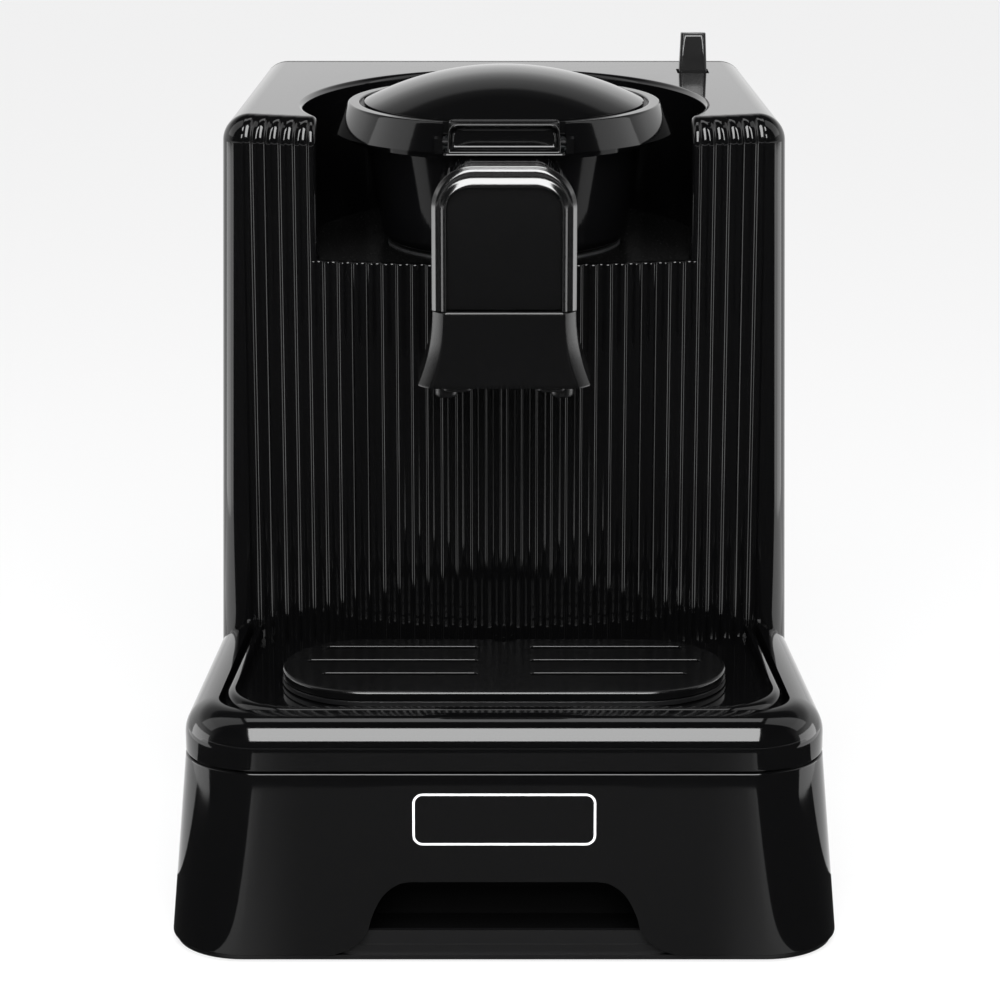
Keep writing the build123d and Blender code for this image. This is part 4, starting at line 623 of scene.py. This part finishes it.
def column_row(z, w=0.0):
    """Plain column and side at one height, or a share w over the top edge: flat front, quarter
    round corner about a leaning axis, then the side plane to the back."""
    axis_x = COLUMN_AXIS - LEAN * (z - PART_Z)
    first = np.arcsin(max(0.0, (FLUTED_HW - axis_x) / EDGE_R))
    flat = max(0.0, axis_x - FLUTED_HW)
    last = np.arccos(-side_out[1])
    run = column_t * (flat + EDGE_R * (last - first))
    beta = first + np.maximum(run - flat, 0) / EDGE_R
    lean = np.array([1.0, 0.0, LEAN]) / np.hypot(1.0, LEAN)
    out = np.cos(beta)[:, None] * (0, -1, 0) + np.sin(beta)[:, None] * lean
    centre = np.stack([np.where(run < flat, FLUTED_HW + run, axis_x), CORNER_Y + 0 * run,
                       z + 0 * run], -1)
    depth = cove_depth(BOW_END + run, 0.5 * pi * w)[:, None]
    back = side_t * SIDE_RUN
    side_centre = np.stack([axis_x - NARROW * back, CORNER_Y + back, z + 0 * back], -1)
    centre = np.concatenate([centre, side_centre])
    out = np.concatenate([out, np.tile(side_out, (len(back), 1))])
    depth = np.concatenate([depth, 0 * back[:, None]])
    out = slerp(out, np.tile(UP, (len(out), 1)), w) if w else out
    row = centre + out * (EDGE_R - depth)
    row[:, 1] += np.concatenate([0 * run, side_t]) * (BACK_Y - row[-1, 1])
    return row


middle_s = np.linspace(0, cheek_edge(0), 212)
cheek_s = np.linspace(cheek_edge(0), BOW_END, 76)
edge_steps = np.linspace(0, pi / 2, 41)
low_z, high_z = np.linspace(PART_Z, SHELF_Z, 12), np.linspace(SHELF_Z, BEND_Z, 4)

# lower front: the whole bow, with a softened upper edge and a flat strip behind it
soft = smooth_step((cheek_edge(0) - middle_s) / 1.5)
middle = [bow_row(middle_s, z) for z in low_z[:-1]]
middle += [bow_row(middle_s, SHELF_Z, 0.0, soft * inset) - np.outer(soft * drop, UP)
           for inset, drop in ((0, 0.6), (0.08, 0.27), (0.27, 0.08), (0.6, 0))]
strip_centre, strip_out = bow_stations(middle_s)
middle.append(strip_centre + (0, 0, SHELF_Z) + strip_out * (EDGE_R - FRONT_WALL))

# cheeks: full height and over the top; stations never pass inside the mouth's rounding
cheeks = [bow_row(cheek_s, z) for z in low_z]
cheeks += [bow_row(cheek_s, z, 0.0, 0.0, cheek_edge(0)) for z in high_z[1:]]
for phi in edge_steps[1:]:
    s = np.maximum(cheek_s, cheek_edge(phi))
    cheeks.append(bow_row(s, BEND_Z, phi, 0.0, cheek_edge(phi)))
sides = [column_row(z) for z in np.concatenate([low_z, high_z[1:]])]
sides += [column_row(BEND_Z, w) for w in edge_steps[1:] * 2 / pi]
joint = [(a[-1], b[0]) for a, b in zip(cheeks, sides)]

# rounding of the mouth, from the flutes round to the cavity wall
mouth = []
w = np.linspace(0, 1, 9)[:, None]
for z, phi in [(z, 0.0) for z in high_z] + [(BEND_Z, phi) for phi in edge_steps[1:]]:
    centre, out = bow_stations(np.array([cheek_edge(phi)]))
    direction = np.cos(phi) * out[0] + np.sin(phi) * UP
    start, stop = np.tile(direction, (9, 1)), np.tile([-1.0, 0, 0], (9, 1))
    mouth.append(centre[0] + (0, 0, z) + direction * (EDGE_R - MOUTH_R)
                 + MOUTH_R * slerp(start, stop, w))
mouth = np.array(mouth)

# cavity wall: straight cheeks, a small blend, part of a circle and a long rear ellipse
cheek_y, cheek_top = mouth[3:, -1, 1], mouth[3:, -1, 2]
circle = np.linspace(np.arctan2(-29.21, 69.4), 0, 24)[1:]
ellipse = np.linspace(0, pi / 2, 48)[1:]
blend = np.linspace(0.155, 0.3999, 7)
plan = np.concatenate([
    np.stack([CHEEK_X + BLEND_R * (1 - np.cos(blend)), BLEND_Y + BLEND_R * np.sin(blend)], 1),
    np.stack([CAVITY_R * np.cos(circle), POT_Y + CAVITY_R * np.sin(circle)], 1),
    np.stack([CAVITY_R * np.cos(ellipse), POT_Y + CAVITY_REAR * np.sin(ellipse)], 1)])
into = np.concatenate([
    np.stack([np.cos(blend), -np.sin(blend)], 1), np.stack([np.cos(circle), np.sin(circle)], 1),
    np.stack([np.cos(ellipse) / CAVITY_R, np.sin(ellipse) / CAVITY_REAR], 1)])
into /= np.linalg.norm(into, axis=1)[:, None]
plan[0], into[0] = (CHEEK_X, cheek_y[-1]), (1, 0)
plan[-1, 0], into[-1] = 0.0, (0, 1)
wall_line = np.concatenate([np.stack([0 * cheek_y + CHEEK_X, cheek_y], 1), plan[1:]])
wall_low, brim_z = SHELF_Z - SHELL_WALL, TOWER_TOP - BRIM_R
wall_top = np.concatenate([cheek_top, np.full(len(plan) - 1, brim_z)])
wall_rows = [raised(wall_line, wall_low + (wall_top - wall_low) * share)
             for share in np.linspace(0, 1, 6)]
brim = [raised(plan + into * BRIM_R * (1 - np.cos(a)), brim_z + BRIM_R * np.sin(a))
        for a in np.linspace(0, pi / 2, 7)]

# flat top between the outer rounding and the brim, with the slot of the start lever
outer_chain = np.concatenate([cheeks[-1][:, :2], sides[-1][:1, :2], sides[-1][len(column_t):, :2]])
right_chain = np.concatenate([brim[-1][::-1, :2], outer_chain[1:]])
keep = np.append(True, np.linalg.norm(np.diff(right_chain, axis=0), axis=1) > 0.003)
right_chain = right_chain[keep]
top_loop = np.concatenate([right_chain[1:], right_chain[::-1] * (-1, 1)])
slot_loop = np.array([(LEVER_X + sx * 6.35, LEVER_Y + sy * 6.44)
                      for sx, sy in ((-1, -1), (1, -1), (1, 1), (-1, 1))])
slot_rows = [closed(slot_loop, z) for z in (TOWER_TOP, SLOT_LOW)]
half = [middle, cheeks, sides, joint, mouth, wall_rows, brim]
whole = half + [np.array(patch) * (-1, 1, 1) for patch in half]
whole += [sheet_with_holes(top_loop, [slot_loop], TOWER_TOP), slot_rows]
moulding("tower", whole, piano_black, "housing",
         ["tower_shell", "fluted_front"], sharp=42)

# ---- pot ----
# Small brewing pot, drawn steel with a black high-gloss coat outside and in.  Its foot is
# rounded, its rim rolled out flat; it stands on the heater and lifts out with the spout.
POT_LOW, RIM_Z, BOWL_Z = 231.9, 273.3, 233.5
coated_black = gloss_plastic("coated_black", (0.002, 0.002, 0.0022), 0.07, level=0.15)


def turned(profile, start=0.0, steps=129):
    """Surface of revolution about the pot's axis: x = r sin a, y = y0 - r cos a, with a from
    start to a whole turn less start; start may differ for each profile point."""
    profile = np.asarray(profile, float)
    first = np.broadcast_to(start, len(profile))[:, None]
    a = first + np.linspace(0, 1, steps)[None, :] * (2 * pi - 2 * first)
    r, z = profile[:, :1], profile[:, 1:]
    return np.stack([r * np.sin(a), POT_Y - r * np.cos(a), z + 0 * a], -1)


arc = np.linspace(0, pi / 2, 9)
foot_r = [(40.6 + 6 * np.sin(a), POT_LOW + 6 - 6 * np.cos(a)) for a in arc * 1.09]
bowl_r = [(40.9 + 4.4 * np.sin(a), POT_LOW + 6 - 4.4 * np.cos(a)) for a in arc[::-1] * 1.09]
pot_profile = [(0, POT_LOW), (20, POT_LOW)] + foot_r + [
    (52.25, 270.2), (52.6, 270.8), (53.2, 271.1), (58.7, 271.1), (59, 271.4), (59, 273.0),
    (58.7, RIM_Z), (52.0, RIM_Z), (51.55, 273.15), (51.35, 272.7)] + bowl_r + [
    (20, BOWL_Z), (0, BOWL_Z)]
moulding("pot", [turned(pot_profile)], coated_black, "pot", ["pot_body"])

# ---- spout ----
# Neck in front of the pot: a gloss housing, a flat satin panel framed by a rounded gloss
# bead bent to an upside-down U, and a flared satin head with two short nozzles.
NECK_Z, BEAD_Y, STREAM_X, STREAM_Y = 223.3, -76.2, 20.85, -63.0
HEAD_HIGH, HEAD_HW, HEAD_FLARE, HEAD_FRONT, HEAD_BACK = 27.7, 25.6, 5.4, -78.6, -39.5
panel_black = grained_plastic("panel_black", (0.0018, 0.0018, 0.0019), 0.2, 0.008, 1400.0,
                              level=0.36)
bead_black = gloss_plastic("bead_black", (0.002, 0.002, 0.0021), 0.15, ior=1.85)


def bead_path():
    """Centre line of the bead in front view: up, round a corner of radius 12.5, across."""
    half, top, r = 23.0, 272.3, 12.5
    turn = np.linspace(pi, pi / 2, 19)
    corner = np.stack([-half + r + r * np.cos(turn), top - r + r * np.sin(turn)], 1)
    rise = np.stack([np.full(12, -half), np.linspace(NECK_Z, top - r, 13)[:-1]], 1)
    level = np.stack([np.linspace(-half + r, 0, 6)[1:], np.full(5, top)], 1)
    return mirrored(np.concatenate([rise, corner, level]))


line = bead_path()
along = np.gradient(line, axis=0)
along /= np.linalg.norm(along, axis=1)[:, None]
sideways = np.stack([-along[:, 1], along[:, 0]], 1)
section = smooth_curve([(2.6, -1.2), (2.6, -0.75), (2.2, -0.3), (1.7, 0.24), (1.2, 0.75),
                        (0.6, 1.08), (-0.1, 1.15), (-0.6, 1.32), (-1.1, 1.72), (-1.6, 2.12),
                        (-2.05, 2.33), (-2.4, 2.15), (-2.6, 1.4), (-2.6, -1.4), (0.0, -2.0),
                        (2.2, -1.8), (2.6, -1.2)], 5)
across = np.stack([sideways[:, 0], 0 * line[:, 0], sideways[:, 1]], 1)
inward = np.minimum(section[:, 0] - 0.9, 0)
upward = np.clip(sideways[:, 1:], 0, 1) ** 2
reach_in = section[:, 0] + 0.68 * inward * upward
forward = section[:, 1] * (1 - 0.32 * upward)
bead = (np.stack([line[:, 0], np.full(len(line), BEAD_Y), line[:, 1]], 1)[:, None]
        + reach_in[:, :, None] * across[:, None] + forward[:, :, None] * (0, -1.0, 0))
moulding("spout_bead", [bead], bead_black, "pot", ["spout_trim"])

bevel_turn = np.radians(np.concatenate([np.linspace(4, 36, 5), np.linspace(40, 58, 10),
                                        np.linspace(62, 88, 4)]))
bevel_run = np.concatenate([np.full(5, 0.22), np.full(10, 0.58), np.full(4, 0.2)])
bevel = np.cumsum(np.stack([np.cos(bevel_turn), np.sin(bevel_turn)], 1) * bevel_run[:, None], 0)
bevel = np.concatenate([[[0.0, 0.0]], bevel])


def head_row(share, inset=0.0, drop=0.0):
    """Grid row of the head at a share of its height: a bevel whose outward turn runs from 0 to
    90 degrees, slowly between 40 and 58, joins front and sides; the back corners are round.
    Sides and front sweep out with the power 2.2 of the share."""
    flare = share ** 2.2
    half, front = HEAD_HW + flare * HEAD_FLARE - inset, HEAD_FRONT - flare * 0.4 + inset
    back, r = HEAD_BACK - inset, max(3.0 - inset, 0.6)
    quarter = np.linspace(0, pi / 2, 9)
    rear = np.stack([half - r + r * np.cos(quarter), back - r + r * np.sin(quarter)], 1)
    fore = np.stack([half - bevel[-1, 0] + bevel[:, 0], front + bevel[:, 1]], 1)
    right = np.concatenate([fore, rear])
    loop = np.concatenate([right, right[::-1] * (-1, 1)])
    return closed(loop, NECK_Z - 0.3 - share * HEAD_HIGH - drop)


head_rows = [head_row(0, 0.8), head_row(0, 0.25, 0.12), head_row(0, 0.0, 0.5)]
head_rows += [head_row(share) for share in np.linspace(0.04, 0.975, 30)]
head_rows += [head_row(0.99, 0.12), head_row(1.0, 0.6)]
moulding("spout_foot", [head_rows, cap(head_rows[0]), cap(head_rows[-1])], panel_black, "pot",
         ["spout_head"])

nozzle_profile = [(2.4, 199.3), (2.4, 190.0), (2.6, 189.3), (3.2, 189.2), (3.75, 189.5),
                  (4.1, 190.1), (4.15, 190.8), (4.15, 197.3), (5.35, 197.3), (5.35, 199.3),
                  (2.4, 199.3)]
nozzle = turned(nozzle_profile, 0.0, 41) + (0, STREAM_Y - POT_Y, 0)
boss = np.array([closed(stadium_line(11.4 - 2 * d, 8.6 - 2 * d, 13) + (16.9, -64.6), z)
                 for d, z in ((0.0, 196.2), (0.0, 192.7), (0.25, 192.1), (0.9, 191.75),
                              (1.6, 191.7))])
boss_cap, cap_faces = cap(boss[-1])
nozzle_parts = []
for side in (-1, 1):
    nozzle_parts += [nozzle + (side * STREAM_X, 0, 0), boss * (side, 1, 1),
                     (boss_cap * (side, 1, 1), cap_faces)]
moulding("pouring_nozzles", nozzle_parts, satin_black, "pot", ["nozzles"])

# ---- lid ring ----
# Conical gloss ring that carries the dome and seal and swings up on the hinge at its back.
# It is notched at the front for the thumb tab.
RING_TOP, SEAL_R, SEAL_LOW, SEAL_TOP = 284.4, 49.7, 280.0, 282.2
NOTCH_HW, NOTCH_BACK, HINGE_Y, HINGE_Z = 22.1, 53.0, 84.1, 277.5
ring_r = np.array([63.9, 63.84, 63.6, 63.0, 62.0, 61.5, 60.5, 59.6, 59.05, 58.9, 58.7, 58.45,
                   58.1, 57.7, 57.38, 56.5, 55.5, 54.75, 54.5, 54.35, 54.301, 54.299, 53.6, 53.0,
                   51.5, 49.7])
ring_high = np.interp(-ring_r, [-63.9, -58.95, -58.75, -58.5, -58.1, -54.75, -54.5, -54.35,
                                -54.301, -54.299, -49.7],
                      [274.0, 283.5, 283.85, 284.2, RING_TOP, RING_TOP, 284.3, 284.1, 283.8,
                       282.2, 282.2])
ring_low = np.interp(-ring_r, [-61.5, -56.5], [274.0, 280.0])
beside_tab = np.arcsin(NOTCH_HW / ring_r)
behind_tab = np.arccos(np.minimum(1.0, NOTCH_BACK / ring_r))
notch_at = np.where(ring_r * np.cos(beside_tab) > NOTCH_BACK, beside_tab, behind_tab)
high_side = turned(np.stack([ring_r, ring_high], 1), notch_at, 193)
low_side = turned(np.stack([ring_r, ring_low], 1), notch_at, 193)
inner_side = turned([(SEAL_R, SEAL_TOP), (SEAL_R, SEAL_LOW)], 0.0, 193)
ends = [[high_side[:, k], low_side[:, k]] for k in (0, -1)]


def bar_across(profile, x0, x1):
    """Bar with one (y, z) section between two x planes, ends closed."""
    loop = np.asarray(profile, float)
    grid = [closed(loop, x)[:, [2, 0, 1]] for x in (x0, x1)]
    caps = [sheet_with_holes(loop, [], x) for x in (x0, x1)]
    return [grid] + [(points[:, [2, 0, 1]], faces) for points, faces in caps]


knuckle = np.linspace(-2.0, 2.1, 22)
ear = [(72.6, 280.1), (72.6, 276.3)]
ear += [(HINGE_Y + 3 * np.cos(a), HINGE_Z + 3 * np.sin(a)) for a in knuckle]
lug = [(-46, 274.3), (-34.2, 274.3), (-34.2, 279.6), (-46, 279.6)]
moulding("ring_of_lid", [high_side, low_side, inner_side] + ends + bar_across(ear, -10.7, 10.7)
         + bar_across(lug, 22.15, 25) + bar_across(lug, -25, -22.15),
         piano_black, "lid", ["lid_ring"])

# ---- lid dome ----
# Shallow domed cap, moulded in gloss black and snapped into the ring, with a fine groove
# round it.
DOME_EDGE, DOME_R, DOME_CENTRE = 52.5, 114.889, 182.311
sweep = np.linspace(0, np.arcsin(52.1 / DOME_R), 26)
crown = np.stack([DOME_R * np.sin(sweep), DOME_CENTRE + DOME_R * np.cos(sweep)], 1)
dome_profile = np.concatenate([crown, [(52.42, 284.45), (DOME_EDGE, 284.0), (DOME_EDGE, 282.3),
                                       (50.0, 282.3), (50.0, 283.2)]])
moulding("dome_of_lid", [turned(dome_profile, 0.0, 161)], piano_black, "lid",
         ["lid_dome"])

# ---- thumb tab ----
# Rocking catch of the lid: a gloss block on a thin foot plate, its upper corners round, its
# front hollowed for the thumb and its top stepped down to a low lip behind.  It turns on a
# steel pin between the lugs of the ring.
TAB_BACK, TAB_LOW, TAB_HIGH, HOLLOW_Y = -37.8, 274.2, 285.8, -48.9
PLATE_HW, PLATE_FRONT = 21.8, -51.35


def tab_loop(inset, half=20.2, low=275.0, high=TAB_HIGH, corner=3.6):
    """Front view of the tab, a little narrower at the top, its two upper corners rounded."""
    r, narrowing = max(corner - inset, 0.5), 0.3
    turn = np.linspace(0, pi / 2, 9)
    top, bottom = high - inset, low + inset
    lean = narrowing / (high - low)
    right = np.stack([half - inset - narrowing - r + r * np.cos(turn),
                      top - r + r * np.sin(turn)], 1)
    foot = [(half - inset - lean * inset, bottom)]
    mid = [(half - inset - lean * (z - low) * 0.9, z)
           for z in np.linspace(bottom, top - r, 5)[1:-1]]
    side = np.concatenate([foot, mid, right])
    return np.concatenate([side, side[::-1] * (-1, 1)])


def facing(loop, y):
    """Closed front-view loop as a grid row in the plane y."""
    return closed(loop, y)[:, [0, 2, 1]]


def facing_cap(loop, y):
    """Face that fills a front-view loop in the plane y."""
    points, faces = sheet_with_holes(loop, [], y)
    return points[:, [0, 2, 1]], faces


tab_rows = [facing(tab_loop(i, high=TAB_HIGH - drop, corner=r), y) for i, y, drop, r in (
    (0.9, TAB_BACK, 0.2, 1.5), (0.3, TAB_BACK - 0.15, 0.2, 1.5), (0, TAB_BACK - 0.6, 0.2, 1.5),
    (0, TAB_BACK - 0.9, 0.22, 1.5), (0, TAB_BACK - 1.15, 0.4, 1.5),
    (0, TAB_BACK - 1.35, 0.62, 1.5), (0, TAB_BACK - 1.7, 0.72, 1.5), (0, -49.0, 0.1, 3.4),
    (0, -50.6, 0, 3.6), (0.08, -50.88, 0, 3.6), (0.28, -51.05, 0, 3.6), (0.5, -51.1, 0, 3.6),
    (0.75, -51.0, 0, 3.6), (0.95, -50.7, 0, 3.6), (1.5, -49.6, 0, 3.6), (2.4, HOLLOW_Y, 0, 3.6),
    (2.7, HOLLOW_Y, 0, 3.6))]
tab_caps = [facing_cap(tab_loop(2.7), HOLLOW_Y),
            facing_cap(tab_loop(0.9, high=TAB_HIGH - 0.2, corner=1.5), TAB_BACK)]
plate_rows = [raised(rounded_frame(PLATE_HW - d, PLATE_FRONT + d, TAB_BACK - d, 1.2), TAB_LOW + z)
              for d, z in ((0.5, 0), (0.12, 0.15), (0, 0.45), (0.1, 0.75), (0.4, 1.05),
                           (0.9, 1.2))]
moulding("thumb_tab", [tab_rows, plate_rows, cap(plate_rows[0]), cap(plate_rows[-1])] + tab_caps,
         piano_black, "latch", ["latch_tab"])

# ---- remaining outer parts ----
# Moulded spout housing, start lever, rear cover and plates, pressed-in rubber feet, steel
# screws and pins, silicone seal and duct.  Curved ones are re-made from their own mesh.
def rejoined(node, finish, body, sharp=32):
    """Copy of a part's mesh with its loose triangles joined, smooth except at real edges."""
    mesh = nodes[node].data.copy()
    mesh.name = node + "_finished"
    return finished(mesh.name, mesh, joined(mesh, 0.002 * MM), finish, body, [node], sharp)


def refinish(finish, *names):
    """Finish for parts whose shape is right as it stands."""
    for name in names:
        for holder in nodes[name].material_slots:
            holder.material = finish
        if not nodes[name].material_slots:
            nodes[name].data.materials.append(finish)


rejoined("spout_housing", piano_black, "pot")
rejoined("start_lever", gloss_plastic("lever_black", (0.008, 0.008, 0.008), 0.16), "lever")
rubber = grained_plastic("soft_rubber", (0.014, 0.014, 0.014), 0.78, 0.2, 1600.0)
steel = grained_plastic("bright_steel", (0.56, 0.57, 0.58), 0.24, 0.03, 2600.0, 1.0)
silicone = grained_plastic("grey_silicone", (0.20, 0.21, 0.22), 0.55, 0.08, 700.0)
black_oxide = grained_plastic("black_oxide", (0.006, 0.006, 0.0065), 0.45, 0.03, 2600.0,
                              level=0.15)
for node in ("feet", "cord_gland"):
    rejoined(node, rubber, "housing")
for node in ("base_screws", "rear_screws"):
    rejoined(node, steel, "housing")
for node in ("pot_hinge", "lid_hinge_pin"):
    rejoined(node, steel, "pot")
rejoined("latch_pin", black_oxide, "lid")
rejoined("lid_seal", silicone, "lid")
rejoined("pour_duct", silicone, "pot")
refinish(satin_black, "rear_cover", "base_plate", "cover_posts", "lever_bracket", "lever_switch")
# grip_pocket: a darker, duller black than the satin parts, with weak reflections, as painted shade
# for the inside of the finger recess.
refinish(grained_plastic("painted_shade_black", (0.0016, 0.0016, 0.0017), 0.6, level=0.12),
         "grip_pocket")
# pot_shelf: a darker black with weak reflections, as painted shade on the floor of the pot cavity.
refinish(grained_plastic("shelf_painted_shade_black", (0.003, 0.003, 0.003), 0.22, 0.03, level=0.15),
         "pot_shelf")
refinish(panel_black, "spout_panel")

# ---- heater ----
# Cast aluminium disc with a ground face, a flattened steel element and clamp under it, the
# thermostat and fuse pressed against it, and the steel pin that the start lever rocks on.
cast = grained_plastic("cast_aluminium", (0.62, 0.63, 0.64), 0.38, 0.25, 420.0, 1.0)
tube_steel = grained_plastic("heated_steel", (0.42, 0.38, 0.34), 0.33, 0.06, 900.0, 1.0)
rejoined("heater_plate", cast, "housing")
rejoined("heater_element", tube_steel, "housing")
for node in ("thermostat", "thermal_fuse", "lever_pin"):
    rejoined(node, steel, "housing")
refinish(steel, "heater_clamp")

# ---- control board ----
# Green lacquered board on nylon spacers with its transformer, relay, capacitors, buzzer
# and terminals; all hidden behind the rear cover.
def patterned(name, low, high, roughness, scale, metal=0.0):
    """Two-tone surface: a distorted wave mixes the colours, as tracks or laminations."""
    look = grained_plastic(name, low, roughness, 0.05, 600.0, metal)
    graph = look.node_tree
    wave = add_node(graph, "TexWave", Vector=add_node(graph, "TexCoord").outputs["Object"],
                    Scale=scale, Distortion=2.5)
    tone = add_node(graph, "Mix", props=COLOUR, Factor=wave.outputs["Fac"], A=(*low, 1),
                    B=(*high, 1))
    feed(graph, graph.nodes["Principled BSDF"], Base_Color=tone.outputs["Result"])
    return look


refinish(patterned("board_lacquer", (0.006, 0.07, 0.022), (0.02, 0.14, 0.05), 0.32, 130.0),
         "control_board")
refinish(patterned("laminated_core", (0.10, 0.095, 0.09), (0.22, 0.21, 0.2), 0.45, 300.0, 0.7),
         "transformer")
refinish(grained_plastic("relay_case", (0.045, 0.12, 0.33), 0.3, 0.05), "relay",
         "terminal_block")
refinish(cast, "heat_sink")
rejoined("board_standoffs", grained_plastic("white_nylon", (0.72, 0.71, 0.68), 0.45), "housing")
rejoined("capacitors", grained_plastic("sleeve_black", (0.02, 0.022, 0.03), 0.3), "housing")
rejoined("buzzer", satin_black, "housing")
